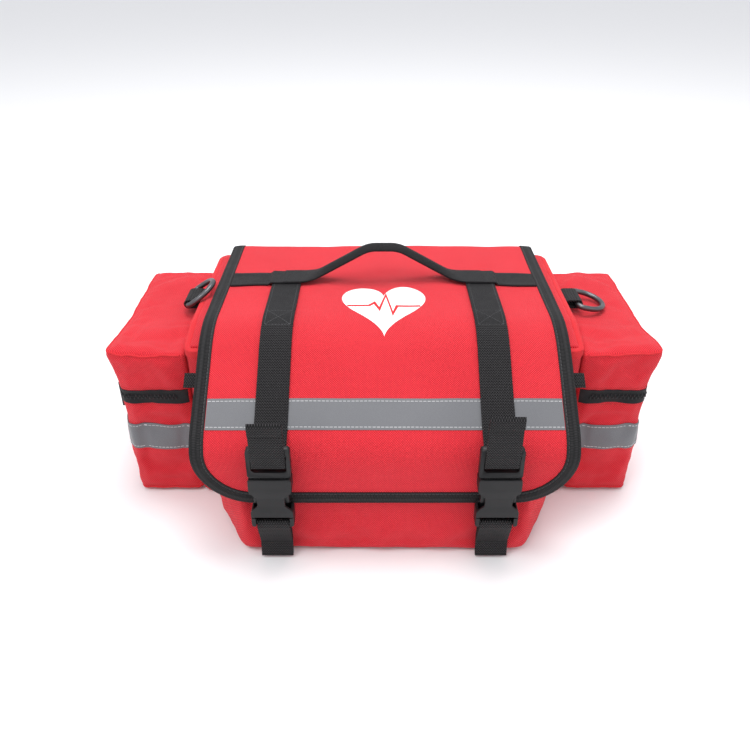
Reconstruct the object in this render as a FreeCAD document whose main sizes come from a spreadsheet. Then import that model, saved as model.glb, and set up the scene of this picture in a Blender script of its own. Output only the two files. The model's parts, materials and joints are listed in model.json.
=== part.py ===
import FreeCAD, Part
import math
import os
import re
import Sketcher
from FreeCAD import Vector

# A soft first-aid bag: open padded box, front bellows pocket, two end pockets and a flap.
# Millimetres. +Z is up, -Y is the front that faces the user, and the origin is the
# middle of the main box's floor, on the surface that it stands on.

doc = FreeCAD.newDocument("TraumaBag")
sheet = doc.addObject("Spreadsheet::Sheet", "Sizes")

sizes = {
    # main box
    "bagWidth": 316, "bagDepth": 182, "rimHeight": 150, "backRim": 148, "frontRim": 143,
    "wall": 4, "rimSlope": 36, "backRun": 10, "lipWide": 22, "lipThick": 3, "lipRise": 2,
    "boardThick": 2, "boardGap": 2, "tapeThick": 1,
    # end pockets
    "pocketWidth": 58, "pocketDepth": 168, "pocketHeight": 138, "pocketRound": 14,
    "zipHeight": 94, "zipWide": 12.5, "zipProud": 0.6, "teethWide": 4, "teethProud": 1.3,
    "bandHeight": 47, "bandWide": 25, "bandThick": 0.4,
    # front bellows pocket
    "frontReach": 69, "frontBackWidth": 300, "frontNoseWidth": 240,
    "frontBackHeight": 137, "frontNoseHeight": 91, "frontRound": 13, "frontZipBack": 14,
    # flap
    "flapWidth": 290, "flapThick": 3, "flapGap": 1.5, "flapTopGap": 6, "flapBackGap": 1.8,
    "flapDrop": 51,
    "seamHeight": 75, "backRadius": 10, "shoulderRadius": 68, "shoulderAngle": 35,
    "shoulderBack": 33, "noseRadius": 28, "flapCorner": 46,
    "bindWide": 11, "bindThick": 0.8,
    # webbing
    "webWide": 25, "webThick": 1.5, "strapSpacing": 169, "lowerStart": 3, "lowerBend": 20,
    # side-release buckles
    "buckleWide": 32, "buckleThick": 11, "mouthHeight": 85, "socketLong": 45,
    "socketWall": 2.3, "socketSkin": 1.9, "windowTop": 9, "windowLong": 17, "webSlotLong": 6,
    "bottomBar": 3, "bottomBarThick": 5, "standOff": 9.2, "plugThick": 6, "plugLong": 25,
    "plugGap": 0.4, "shoulderTall": 5, "slotTall": 5, "midBar": 3, "slotInset": 3,
    "tongueWide": 7, "tongueThick": 3, "tongueLong": 22,
    "armRoot": 8, "armThick": 3, "armLong": 24, "armDeep": 5, "barbWide": 5.2, "barbLong": 12,
    "armGap": 0.5, "tailRise": 31, "loopGap": 0.3,
    # carrying handle
    "handleSpan": 148, "handleRise": 28, "handleSetback": 7, "gripWide": 14, "gripThick": 4,
    "handleLift": 5, "anchorGap": 0.5,
    # shoulder-strap rings
    "ringWire": 4.7, "ringHalf": 17, "ringReach": 25, "ringCorner": 5, "ringOut": 12,
    "ringHeight": 146, "ringDown": 11.8, "ringUp": 145, "ringFit": 0.3, "ringSetback": 2,
    # zip sliders and pulls
    "sliderLong": 11, "sliderTall": 8, "sliderThick": 3.4, "sliderGap": 0.3,
    "pullLong": 23, "pullWide": 6, "pullThick": 1.8, "pullGap": 0.5, "sliderInset": 24,
    # removable dividers
    "dividerThick": 8, "dividerTall": 120, "dividerAt": 52, "dividerGap": 1,
    # printed emblem
    "emblemWide": 70, "emblemLong": 76, "emblemSetback": 6, "emblemThick": 0.3,
}
for row, (alias, value) in enumerate(sizes.items(), 1):
    sheet.set(f"A{row}", alias)
    sheet.set(f"B{row}", str(value))
    sheet.setAlias(f"B{row}", alias)
doc.recompute()

class Cells:
    """The sheet's values by name, for shapes that are computed rather than drawn."""

    def __getattr__(self, name):
        return float(sheet.get(name))


cell = Cells()
made = []
sides = {"left": -1, "right": 1}


def onSheet(text):
    """An expression in bare size names, turned into one that reads the sheet."""
    return re.sub(r"[A-Za-z]\w*", lambda m: "Sizes." + m.group() if m.group() in sizes else m.group(), text)


def keep(piece):
    made.append(piece)
    return piece


def bind(thing, path, text):
    thing.setExpression(path, onSheet(text))


def addBox(label, low, extent, kept=True):
    """A Part box with its low corner and its three sizes bound to the sheet."""
    box = doc.addObject("Part::Box", label)
    for axis, text in zip("xyz", low):
        bind(box, f"Placement.Base.{axis}", text)
    for side, text in zip(("Length", "Width", "Height"), extent):
        bind(box, side, text)
    return keep(box) if kept else box


def addShape(label, shape):
    """A computed solid as a node of its own."""
    piece = doc.addObject("Part::Feature", label)
    piece.Shape = shape.removeSplitter()
    return keep(piece)


def newBody(label, place):
    """A PartDesign body whose place is bound to the sheet."""
    body = doc.addObject("PartDesign::Body", label)
    for axis, text in zip("xyz", place):
        bind(body, f"Placement.Base.{axis}", text)
    return keep(body)


def rectSketch(body, role, low, extent, lift="0"):
    """A rectangle on one of the body's origin planes, low corner and sizes bound to the sheet."""
    plane = [f for f in body.Origin.OriginFeatures if f.Role == role][0]
    sketch = body.newObject("Sketcher::SketchObject", "outline")
    sketch.AttachmentSupport = [(plane, "")]
    sketch.MapMode = "FlatFace"
    corners = [Vector(0, 0), Vector(9, 0), Vector(9, 4), Vector(0, 4)]
    for n in range(4):
        sketch.addGeometry(Part.LineSegment(corners[n], corners[(n + 1) % 4]))
    for n in range(4):
        sketch.addConstraint(Sketcher.Constraint("Coincident", n, 2, (n + 1) % 4, 1))
        sketch.addConstraint(Sketcher.Constraint("Vertical" if n % 2 else "Horizontal", n))
    sketch.addConstraint(Sketcher.Constraint("Coincident", 0, 1, -1, 1))
    wide = sketch.addConstraint(Sketcher.Constraint("DistanceX", 0, 1, 0, 2, 9))
    tall = sketch.addConstraint(Sketcher.Constraint("DistanceY", 1, 1, 1, 2, 4))
    bind(sketch, f"Constraints[{wide}]", extent[0])
    bind(sketch, f"Constraints[{tall}]", extent[1])
    bind(sketch, "AttachmentOffset.Base.x", low[0])
    bind(sketch, "AttachmentOffset.Base.y", low[1])
    bind(sketch, "AttachmentOffset.Base.z", lift)
    return sketch


def padOn(body, role, low, extent, thick, lift="0", symmetric=True):
    pad = body.newObject("PartDesign::Pad", "pad")
    pad.Profile = rectSketch(body, role, low, extent, lift)
    if symmetric:
        pad.SideType = "Symmetric"
    bind(pad, "Length", thick)
    return pad


def cutOn(body, role, low, extent, thick, lift="0"):
    """A pocket that runs half of thick to each side of its sketch, so it always meets the solid."""
    cut = body.newObject("PartDesign::Pocket", "cut")
    cut.Profile = rectSketch(body, role, low, extent, lift)
    cut.SideType = "Symmetric"
    bind(cut, "Length", thick)
    return cut


# ---- where the flap runs, as seen from the end of the bag ----

class FlapLine:
    """The flap's inner face in the Y-Z plane: up the back, over the top, down the front.

    offset is how far outside that face a line runs, and distances are along the face from
    the back seam. Every turn is the same way, so an offset only makes the arcs larger."""

    def __init__(self):
        top = cell.rimHeight + cell.flapTopGap
        back = cell.bagDepth / 2 + cell.flapBackGap
        turn = math.radians(cell.shoulderAngle)
        quarter = math.pi / 2
        start = cell.shoulderBack - cell.bagDepth / 2
        self.front = -(cell.bagDepth / 2 + cell.frontReach + cell.flapGap)
        slopeTop = (start - cell.shoulderRadius * math.sin(turn),
                    top - cell.shoulderRadius * (1 - math.cos(turn)))
        noseMiddle = self.front + cell.noseRadius
        slopeEnd = noseMiddle - cell.noseRadius * math.sin(turn)
        self.slope = (slopeTop[0] - slopeEnd) / math.cos(turn)
        noseHeight = slopeTop[1] - self.slope * math.sin(turn) - cell.noseRadius * math.cos(turn)
        corner = (back - cell.backRadius, top - cell.backRadius)
        self.top = top
        self.back = back
        self.runs = [
            ("line", (back, cell.seamHeight), quarter, corner[1] - cell.seamHeight),
            ("arc", corner, cell.backRadius, 0, quarter),
            ("line", (corner[0], top), math.pi, corner[0] - start),
            ("arc", (start, top - cell.shoulderRadius), cell.shoulderRadius, quarter, quarter + turn),
            ("line", slopeTop, math.pi + turn, self.slope),
            ("arc", (noseMiddle, noseHeight), cell.noseRadius, quarter + turn, math.pi),
            ("line", (self.front, noseHeight), 1.5 * math.pi, noseHeight - cell.flapDrop),
        ]
        self.lengths = [r[3] if r[0] == "line" else r[2] * (r[4] - r[3]) for r in self.runs]
        self.total = sum(self.lengths)
        self.slopeAt = sum(self.lengths[:4])
        self.topAt = sum(self.lengths[:2])

    def pieces(self, start, end, offset):
        """(edge start, middle, end, kind) for each run between two distances."""
        found = []
        done = 0
        for run, length in zip(self.runs, self.lengths):
            low = max(start - done, 0) / length
            high = min(end - done, length) / length
            done += length
            if high <= low + 1e-9:
                continue
            points = []
            for share in (low, (low + high) / 2, high):
                if run[0] == "line":
                    angle = run[2]
                    out = angle - math.pi / 2
                    y = run[1][0] + math.cos(angle) * length * share + offset * math.cos(out)
                    z = run[1][1] + math.sin(angle) * length * share + offset * math.sin(out)
                else:
                    angle = run[3] + (run[4] - run[3]) * share
                    y = run[1][0] + (run[2] + offset) * math.cos(angle)
                    z = run[1][1] + (run[2] + offset) * math.sin(angle)
                points.append(Vector(0, y, z))
            found.append((points, run[0]))
        return found

    def edges(self, start, end, offset):
        made = []
        for points, kind in self.pieces(start, end, offset):
            if kind == "line":
                made.append(Part.LineSegment(points[0], points[2]).toShape())
            else:
                made.append(Part.Arc(*points).toShape())
        return made

    def point(self, distance, offset):
        return self.pieces(distance, distance + 1e-3, offset)[0][0][0]

    def strip(self, start, end, inner, outer, left, right):
        """A solid strip that follows the flap between two distances, two offsets and two Xs."""
        near = self.edges(start, end, inner)
        far = self.edges(start, end, outer)
        caps = [
            Part.LineSegment(self.point(start, inner), self.point(start, outer)).toShape(),
            Part.LineSegment(near[-1].Vertexes[-1].Point, far[-1].Vertexes[-1].Point).toShape(),
        ]
        wire = Part.Wire(Part.__sortEdges__(near + far + caps))
        face = Part.Face(wire)
        face.translate(Vector(left, 0, 0))
        return face.extrude(Vector(right - left, 0, 0))


line = FlapLine()


def block(low, high):
    """A plain computed box between two corners."""
    return Part.makeBox(*(h - l for l, h in zip(low, high)), Vector(*low))


def yzPlate(points, left, right):
    """A plate with a straight-sided outline in the Y-Z plane, between two Xs."""
    corners = [Vector(left, y, z) for y, z in points]
    return Part.Face(Part.makePolygon(corners + corners[:1])).extrude(Vector(right - left, 0, 0))


# ---- main box ----

halfWidth = cell.bagWidth / 2
halfDepth = cell.bagDepth / 2

addBox("bottom_panel", ("-bagWidth / 2", "-bagDepth / 2", "0"), ("bagWidth", "bagDepth", "wall"))
addBox("back_panel", ("-bagWidth / 2", "bagDepth / 2 - wall", "wall"),
       ("bagWidth", "wall", "backRim - wall"))
addBox("front_panel", ("-bagWidth / 2", "-bagDepth / 2", "wall"),
       ("bagWidth", "wall", "frontRim - wall"))


def raised(points, rise):
    return [(y, z + rise) for y, z in points]


sideTop = [
    (halfDepth - cell.wall, cell.backRim),
    (halfDepth - cell.wall - cell.backRun, cell.rimHeight),
    (cell.rimSlope - halfDepth, cell.rimHeight),
    (-halfDepth + cell.wall, cell.frontRim),
]
sideOutline = [(-halfDepth + cell.wall, cell.wall), (halfDepth - cell.wall, cell.wall)] + sideTop
lipTop = raised(sideTop, cell.lipRise)
lipOutline = lipTop + raised(reversed(lipTop), -cell.lipThick)
for side, sign in sides.items():
    ends = sorted((sign * halfWidth, sign * (halfWidth - cell.wall)))
    addShape(f"{side}_side_panel", yzPlate(sideOutline, *ends))
    ends = sorted((sign * (halfWidth - cell.wall), sign * (halfWidth - cell.wall - cell.lipWide)))
    addShape(f"{side}_rim_lip", yzPlate(lipOutline, *ends))

board = newBody("base_board", ("0", "0", "wall + 0.2"))
padOn(board, "XY_Plane", ("-bagWidth / 2 + wall + boardGap", "-bagDepth / 2 + wall + boardGap"),
      ("bagWidth - 2 * (wall + boardGap)", "bagDepth - 2 * (wall + boardGap)"), "boardThick",
      symmetric=False)

rimLine = [(halfDepth, cell.backRim)] + sideTop + [(-halfDepth, cell.frontRim)]
rim = yzPlate(rimLine + raised(reversed(rimLine), cell.tapeThick), -halfWidth, halfWidth)
inner = block((-halfWidth + cell.wall, -halfDepth + cell.wall, 0),
              (halfWidth - cell.wall, halfDepth - cell.wall, 2 * cell.rimHeight))
addShape("rim_binding", rim.cut(inner))

addBox("flap_seam_tape", ("-flapWidth / 2 + bindWide / 2", "bagDepth / 2", "seamHeight - bindWide - 2"),
       ("flapWidth - bindWide", "tapeThick", "bindWide"))

for side, sign in sides.items():
    addBox(f"divider_{side}",
           (f"{sign} * dividerAt - dividerThick / 2", "-bagDepth / 2 + wall + dividerGap",
            "wall + boardThick + dividerGap"),
           ("dividerThick", "bagDepth - 2 * (wall + dividerGap)", "dividerTall"))


# ---- end pockets, with their zips and reflective bands ----

def pocketSolid(sign, grow):
    """The outer shape of an end pocket, grown by a skin, cut flush at the side panel."""
    radius = cell.pocketRound + grow
    far = halfWidth + cell.pocketWidth + grow
    low = (halfWidth - 2 * radius, -halfDepth - grow, -grow)
    high = (far, -halfDepth + cell.pocketDepth + grow, cell.pocketHeight + grow)
    whole = block(low, high)
    whole = whole.makeFillet(radius, whole.Edges)
    whole = whole.cut(block((low[0] - 1, low[1] - 1, low[2] - 1),
                            (halfWidth, high[1] + 1, high[2] + 1)))
    return whole if sign > 0 else whole.mirror(Vector(), Vector(1, 0, 0))


def pocketRing(sign, proud, bottom, top):
    """A thin skin round a pocket's three outer faces between two heights."""
    reach = 2 * (halfWidth + cell.pocketWidth)
    slab = block((-reach, -reach, bottom), (reach, reach, top))
    return pocketSolid(sign, proud).cut(pocketSolid(sign, 0)).common(slab)


zipMiddle = cell.zipHeight + cell.zipWide / 2
for side, sign in sides.items():
    addShape(f"{side}_side_pocket", pocketSolid(sign, 0))
    tape = pocketRing(sign, cell.zipProud, cell.zipHeight, cell.zipHeight + cell.zipWide)
    teeth = pocketRing(sign, cell.teethProud, zipMiddle - cell.teethWide / 2,
                       zipMiddle + cell.teethWide / 2)
    addShape(f"{side}_pocket_zip", tape.fuse(teeth))
    addShape(f"{side}_pocket_band",
             pocketRing(sign, cell.bandThick, cell.bandHeight, cell.bandHeight + cell.bandWide))


# ---- zip sliders: a body that rides on the teeth, and a pull that hangs from it ----

def sliderBody(label, x, y, z):
    """A slider on an end pocket: body, and the bridge that its pull hangs on."""
    body = newBody(label, (x, y, z))
    padOn(body, "YZ_Plane", ("-sliderLong / 2", "-sliderTall / 2"), ("sliderLong", "sliderTall"),
          "sliderThick")
    return body


pocketFace = "(bagWidth / 2 + pocketWidth)"
for side, sign in sides.items():
    parked = "-bagDepth / 2 + sliderInset" if side == "left" else \
        "-bagDepth / 2 + pocketDepth - sliderInset"
    sliderX = f"{sign} * ({pocketFace} + teethProud + sliderGap + sliderThick / 2)"
    pullX = f"{sign} * ({pocketFace} + teethProud + sliderGap + sliderThick + pullGap + pullThick / 2)"
    zipZ = "zipHeight + zipWide / 2"
    sliderBody(f"{side}_zip_slider", sliderX, parked, zipZ)
    pull = newBody(f"{side}_zip_pull", (pullX, parked, zipZ))
    padOn(pull, "YZ_Plane", ("-pullWide / 2", "-pullLong"), ("pullWide", "pullLong + pullThick / 3"),
          "pullThick")
    cutOn(pull, "YZ_Plane", ("-pullWide / 4", "-pullLong + pullWide / 4"),
          ("pullWide / 2", "pullLong / 3"), "2 * pullThick")


# ---- front bellows pocket ----

frontPlane = -halfDepth - cell.frontReach


def frontOutline(y, width, height):
    corners = [Vector(-width / 2, y, 0), Vector(width / 2, y, 0),
               Vector(width / 2, y, height), Vector(-width / 2, y, height)]
    return Part.makePolygon(corners + corners[:1])


frontShape = Part.makeLoft([
    frontOutline(-halfDepth, cell.frontBackWidth, cell.frontBackHeight),
    frontOutline(frontPlane, cell.frontNoseWidth, cell.frontNoseHeight),
], True, True)
roundedEdges = [e for e in frontShape.Edges if min(v.Y for v in e.Vertexes) < -halfDepth - 1]
frontShape = frontShape.makeFillet(cell.frontRound, roundedEdges)
addShape("front_pocket", frontShape)

frontSlope = math.atan2(cell.frontBackHeight - cell.frontNoseHeight, cell.frontReach)


def onSlope(back, front, low, high, left, right):
    """A plate on the front pocket's sloping top: distances along the slope, heights off it."""
    along = (-math.cos(frontSlope), -math.sin(frontSlope))
    off = (-math.sin(frontSlope), math.cos(frontSlope))
    points = []
    for reach, lift in ((back, low), (front, low), (front, high), (back, high)):
        points.append((-halfDepth + along[0] * reach + off[0] * lift,
                       cell.frontBackHeight + along[1] * reach + off[1] * lift))
    return yzPlate(points, left, right)


zipHalf = cell.frontBackWidth / 2 - 2 * cell.frontRound
zipEnd = cell.frontZipBack + cell.zipWide
zipCentre = cell.frontZipBack + cell.zipWide / 2
tape = onSlope(cell.frontZipBack, zipEnd, 0, cell.zipProud, -zipHalf, zipHalf)
teeth = onSlope(zipCentre - cell.teethWide / 2, zipCentre + cell.teethWide / 2, 0,
                cell.teethProud, -zipHalf, zipHalf)
addShape("front_pocket_zip", tape.fuse(teeth))
tabFar = cell.frontBackWidth / 2 + 6
tabs = [onSlope(cell.frontZipBack, zipEnd, cell.tapeThick, 2 * cell.tapeThick, start, end)
        for start, end in ((-tabFar, -zipHalf - 1), (zipHalf + 1, tabFar))]
addShape("front_zip_tabs", Part.makeCompound(tabs))

sliderLow = cell.teethProud + cell.sliderGap
sliderAt = -zipHalf + cell.sliderLong
frontSlider = onSlope(zipCentre - cell.sliderTall / 2, zipCentre + cell.sliderTall / 2, sliderLow,
                      sliderLow + cell.sliderThick / 2, sliderAt, sliderAt + cell.sliderLong)
frontPull = onSlope(zipCentre, zipCentre + cell.pullLong, sliderLow + cell.sliderThick / 2,
                    sliderLow + cell.sliderThick / 2 + cell.pullThick / 2,
                    sliderAt + cell.sliderLong / 2 - cell.pullWide / 2,
                    sliderAt + cell.sliderLong / 2 + cell.pullWide / 2)
addShape("front_zip_slider", frontSlider.fuse(frontPull))


# ---- flap: panel, binding, band, emblem ----

flapHalf = cell.flapWidth / 2


def flapOutline(inset, inner, outer):
    """The flap's plate between two offsets, its edges moved in, its front corners rounded."""
    plate = line.strip(0, line.total - inset, inner, outer, -flapHalf + inset, flapHalf - inset)
    radius = cell.flapCorner - inset
    bottom = cell.flapDrop + inset
    for sign in (-1, 1):
        centre = sign * (flapHalf - inset - radius)
        edge = sign * (flapHalf - inset + 1)
        ahead = line.front - 20
        disc = Part.makeCylinder(radius, 60, Vector(centre, ahead, bottom + radius), Vector(0, 1, 0))
        square = block((min(centre, edge), ahead, bottom - 1),
                       (max(centre, edge), line.front + cell.noseRadius, bottom + radius))
        plate = plate.cut(square.cut(disc))
    return plate


panel = flapOutline(cell.bindThick, 0, cell.flapThick)
addShape("flap_panel", panel)
sleeve = flapOutline(0, -cell.bindThick, cell.flapThick + cell.bindThick)
window = flapOutline(cell.bindWide, -cell.bindThick, cell.flapThick + cell.bindThick)
addShape("flap_binding", sleeve.cut(window).cut(panel))

bandEnd = line.slopeAt + line.slope
bandReach = flapHalf - cell.bindWide - 0.3
addShape("flap_band", line.strip(bandEnd - cell.bandWide, bandEnd, cell.flapThick,
                                 cell.flapThick + cell.bandThick, -bandReach, bandReach))


def heartPrism(wide, long, tip, bottom, top):
    """A plain heart outline, point to the front, standing upright between two heights."""
    lobe = wide / 4
    shoulder = tip + long - lobe
    left = [Vector(0, shoulder, bottom), Vector(-lobe, shoulder + lobe, bottom),
            Vector(-2 * lobe, shoulder, bottom)]
    right = [Vector(-p.x, p.y, p.z) for p in left]
    point = Vector(0, tip, bottom)
    belly = Vector(-1.45 * lobe, tip + 0.45 * long, bottom)
    edges = [
        Part.Arc(*left).toShape(),
        Part.Arc(left[2], belly, point).toShape(),
        Part.Arc(point, Vector(-belly.x, belly.y, bottom), right[2]).toShape(),
        Part.Arc(right[2], right[1], right[0]).toShape(),
    ]
    return Part.Face(Part.Wire(edges)).extrude(Vector(0, 0, top - bottom))


emblemBack = cell.handleSetback - cell.webWide / 2 - cell.emblemSetback
emblemTip = emblemBack - cell.emblemLong
film = line.strip(line.topAt, line.slopeAt + line.slope, cell.flapThick,
                  cell.flapThick + cell.emblemThick, -cell.emblemWide, cell.emblemWide)
heart = heartPrism(cell.emblemWide, cell.emblemLong, emblemTip, 0, 2 * cell.rimHeight)
addShape("emblem_print", film.common(heart))


# ---- closure straps: sewn on the flap, then free to the ladder bars of each plug ----

buckleY = line.front - cell.flapThick - cell.standOff
flapTop = line.top + cell.flapThick
barLow = cell.mouthHeight + cell.plugGap + cell.shoulderTall + cell.slotTall
barHigh = barLow + cell.midBar
barHalf = cell.plugThick / 3


def roundBar(halfThick, low, high, middleY, wrap):
    """An oblong sleeve of webbing round a bar, in the Y-Z plane."""
    reach = halfThick + cell.loopGap + wrap
    front, back = middleY - reach, middleY + reach
    foot, top = low - cell.loopGap - wrap, high + cell.loopGap + wrap
    return yzPlate([(front, foot), (back, foot), (back, top), (front, top)],
                   -cell.webWide / 2, cell.webWide / 2)


def webLoop(halfThick, low, high, middleY):
    return roundBar(halfThick, low, high, middleY, cell.webThick).cut(
        roundBar(halfThick, low, high, middleY, 0))




def leavesAt(target, offset, distance):
    """How far along the flap a strap runs before its straight way to a point clears the flap."""
    while distance < line.total:
        here = line.point(distance, offset)
        if (target - here).dot(line.point(distance, offset + 1) - here) > 0:
            break
        distance += 0.25
    return distance


strapStart = line.topAt + (line.runs[1][1][0] - cell.handleSetback)
onFlap = cell.flapThick + cell.bandThick
loopBack = buckleY + barHalf + cell.loopGap
loopTop = barHigh + cell.loopGap + cell.webThick
strapEnd = leavesAt(Vector(0, loopBack + cell.webThick, loopTop - cell.webThick), onFlap,
                    line.slopeAt + line.slope - cell.bandWide / 2)
leave = line.point(strapEnd, onFlap)
leaveOut = line.point(strapEnd, onFlap + cell.webThick)
tailFront = buckleY - barHalf - cell.loopGap - cell.webThick
tailOut = buckleY - cell.plugThick / 2 - cell.loopGap - cell.webThick
tailTop = cell.mouthHeight + cell.plugLong + cell.tailRise
tailKnee = barHigh + cell.slotTall / 2
for side, sign in sides.items():
    middleX = sign * cell.strapSpacing / 2
    ends = (-cell.webWide / 2, cell.webWide / 2)
    sewn = line.strip(strapStart, strapEnd + 0.5, onFlap, onFlap + cell.webThick, *ends)
    drop = yzPlate([(leave.y, leave.z), (leaveOut.y, leaveOut.z), (loopBack, loopTop),
                    (loopBack + cell.webThick, loopTop - cell.webThick)], *ends)
    tail = yzPlate([
        (tailFront, loopTop - cell.webThick), (tailFront + cell.webThick, loopTop - cell.webThick),
        (tailOut + cell.webThick, tailKnee), (tailOut + cell.webThick, tailTop),
        (tailOut, tailTop), (tailOut, tailKnee - cell.webThick / 2),
    ], *ends)
    hem = block((ends[0], tailOut - cell.webThick, tailTop - 9), (ends[1], tailOut + 0.2, tailTop))
    strap = sewn.fuse([drop, webLoop(barHalf, barLow, barHigh, buckleY), tail, hem])
    strap.translate(Vector(middleX, 0, 0))
    addShape(f"{side}_closure_strap", strap)


# ---- lower straps: sewn on the front pocket, then round the bar of each socket ----

socketBottom = cell.mouthHeight - cell.socketLong
socketBarHigh = socketBottom + cell.bottomBar
socketBarHalf = cell.bottomBarThick / 2
loopLow = socketBottom - cell.loopGap - cell.webThick
for side, sign in sides.items():
    middleX = sign * cell.strapSpacing / 2
    ends = (-cell.webWide / 2, cell.webWide / 2)
    strap = yzPlate([
        (frontPlane, cell.lowerStart), (frontPlane, cell.lowerBend),
        (buckleY + cell.webThick / 2, loopLow + cell.webThick / 2),
        (buckleY - cell.webThick / 2, loopLow + cell.webThick / 2),
        (buckleY - cell.webThick / 2, loopLow - cell.webThick / 2),
        (frontPlane - cell.webThick, cell.lowerBend - cell.webThick),
        (frontPlane - cell.webThick, cell.lowerStart),
    ], *ends)
    strap = strap.fuse(webLoop(socketBarHalf, socketBottom, socketBarHigh, buckleY))
    strap.translate(Vector(middleX, 0, 0))
    addShape(f"{side}_lower_strap", strap)


# ---- side-release buckles, drawn about the middle of the socket's mouth ----

buckleYText = ("-(bagDepth / 2 + frontReach + flapGap + flapThick + standOff)")
cavityWide = "(buckleWide - 2 * socketWall)"
cavityThick = "(buckleThick - 2 * socketSkin)"
cavityDeep = "(windowTop + windowLong + 3)"
for side, sign in sides.items():
    place = (f"{sign} * strapSpacing / 2", buckleYText, "mouthHeight")

    socket = newBody(f"{side}_buckle_socket", place)
    padOn(socket, "XZ_Plane", ("-buckleWide / 2", "-socketLong"), ("buckleWide", "socketLong"),
          "buckleThick")
    cutOn(socket, "XZ_Plane", (f"-{cavityWide} / 2", f"-{cavityDeep}"),
          (cavityWide, f"{cavityDeep} + 1"), cavityThick)
    for edge in ("-buckleWide / 2 - 1", "buckleWide / 2 - buckleWide / 6"):
        cutOn(socket, "XZ_Plane", (edge, "-windowTop - windowLong"),
              ("buckleWide / 6 + 1", "windowLong"), "2 * buckleThick")
    cutOn(socket, "XZ_Plane", ("-webWide / 2 - loopGap", "-socketLong + bottomBar"),
          ("webWide + 2 * loopGap", "webSlotLong"), "2 * buckleThick")
    for face, depth in (("-buckleThick", "buckleThick - bottomBarThick / 2"),
                        ("bottomBarThick / 2", "buckleThick")):
        cutOn(socket, "XY_Plane", ("-webWide / 2 - loopGap", face),
              ("webWide + 2 * loopGap", depth), "2 * bottomBar", "-socketLong")

    plug = newBody(f"{side}_buckle_plug", place)
    padOn(plug, "XZ_Plane", ("-buckleWide / 2", "plugGap"), ("buckleWide", "plugLong"), "plugThick")
    padOn(plug, "XZ_Plane", ("-tongueWide / 2", "-tongueLong"), ("tongueWide", "tongueLong + plugGap + 1"),
          "tongueThick")
    for bottom in ("plugGap + shoulderTall", "plugGap + shoulderTall + slotTall + midBar"):
        cutOn(plug, "XZ_Plane", ("-buckleWide / 2 + slotInset", bottom),
              ("buckleWide - 2 * slotInset", "slotTall"), "2 * plugThick")
    for face in ("-plugThick", "plugThick / 3"):
        cutOn(plug, "XY_Plane", ("-buckleWide / 2 + slotInset", face),
              ("buckleWide - 2 * slotInset", "plugThick * 2 / 3"), "midBar + 1",
              "plugGap + shoulderTall + slotTall + midBar / 2")

    for hand, turn in sides.items():
        arm = newBody(f"{side}_buckle_{hand}_arm", place)
        near = "armRoot" if turn > 0 else "-armRoot - armThick"
        far = "armRoot" if turn > 0 else "-armRoot - barbWide"
        padOn(arm, "XZ_Plane", (near, "-armLong"), ("armThick", "armLong - armGap"), "armDeep")
        padOn(arm, "XZ_Plane", (far, "-armLong"), ("barbWide", "barbLong"), "armDeep")


# ---- carrying handle ----

gripBottom = flapTop + cell.handleLift
half = cell.handleSpan / 2 - cell.anchorGap


def archFace():
    """The handle's front view, between its lower and upper faces."""
    def arc(lift):
        return [Vector(-half, 0, gripBottom + lift), Vector(0, 0, gripBottom + cell.handleRise + lift),
                Vector(half, 0, gripBottom + lift)]
    under = arc(0)
    over = arc(cell.gripThick)
    edges = [Part.Arc(*under).toShape(), Part.LineSegment(under[2], over[2]).toShape(),
             Part.Arc(*over).toShape(), Part.LineSegment(over[0], under[0]).toShape()]
    return Part.Face(Part.Wire(Part.__sortEdges__(edges)))


grip = archFace().extrude(Vector(0, cell.gripWide, 0))
grip.translate(Vector(0, cell.handleSetback - cell.gripWide / 2, 0))
addShape("carry_handle", grip)

anchors = []
strapOuter = cell.strapSpacing / 2 + cell.webWide / 2 + cell.anchorGap
webBack = (cell.handleSetback - cell.webWide / 2, cell.handleSetback + cell.webWide / 2)
overStrap = flapTop + cell.bandThick + cell.webThick
anchorEnd = flapHalf - cell.bindWide - 0.3
for sign in (-1, 1):
    spans = [
        (cell.handleSpan / 2, strapOuter + cell.webThick, overStrap, overStrap + cell.webThick),
        (strapOuter, strapOuter + cell.webThick, flapTop, overStrap + cell.webThick),
        (strapOuter, anchorEnd, flapTop, flapTop + cell.webThick),
    ]
    blocks = [block((min(sign * a, sign * b), webBack[0], low), (max(sign * a, sign * b), webBack[1], high))
              for a, b, low, high in spans]
    anchors.append(blocks[0].fuse(blocks[1:]))
addShape("handle_anchors", Part.makeCompound([a.removeSplitter() for a in anchors]))


# ---- rings for the shoulder strap, and the webbing tabs that hold them ----

wire = cell.ringWire / 2
ringX = halfWidth + cell.ringOut
ringY = -cell.ringSetback


def ringSolid():
    """A round-wire D, its straight bar along Y through the origin, its bow towards +X."""
    corner, wide = cell.ringCorner, cell.ringHalf
    bow = cell.ringReach - wide
    bend = corner * (1 - math.sqrt(0.5))
    bar = wide - corner
    path = [
        Part.LineSegment(Vector(0, -bar, 0), Vector(0, bar, 0)),
        Part.Arc(Vector(0, bar, 0), Vector(bend, wide - bend, 0), Vector(corner, wide, 0)),
        Part.LineSegment(Vector(corner, wide, 0), Vector(bow, wide, 0)),
        Part.Arc(Vector(bow, wide, 0), Vector(bow + wide, 0, 0), Vector(bow, -wide, 0)),
        Part.LineSegment(Vector(bow, -wide, 0), Vector(corner, -wide, 0)),
        Part.Arc(Vector(corner, -wide, 0), Vector(bend, -wide + bend, 0), Vector(0, -bar, 0)),
    ]
    section = Part.Wire(Part.Circle(Vector(0, 0, 0), Vector(0, 1, 0), wire).toShape())
    return Part.Wire([e.toShape() for e in path]).makePipeShell([section], True, False)


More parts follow.
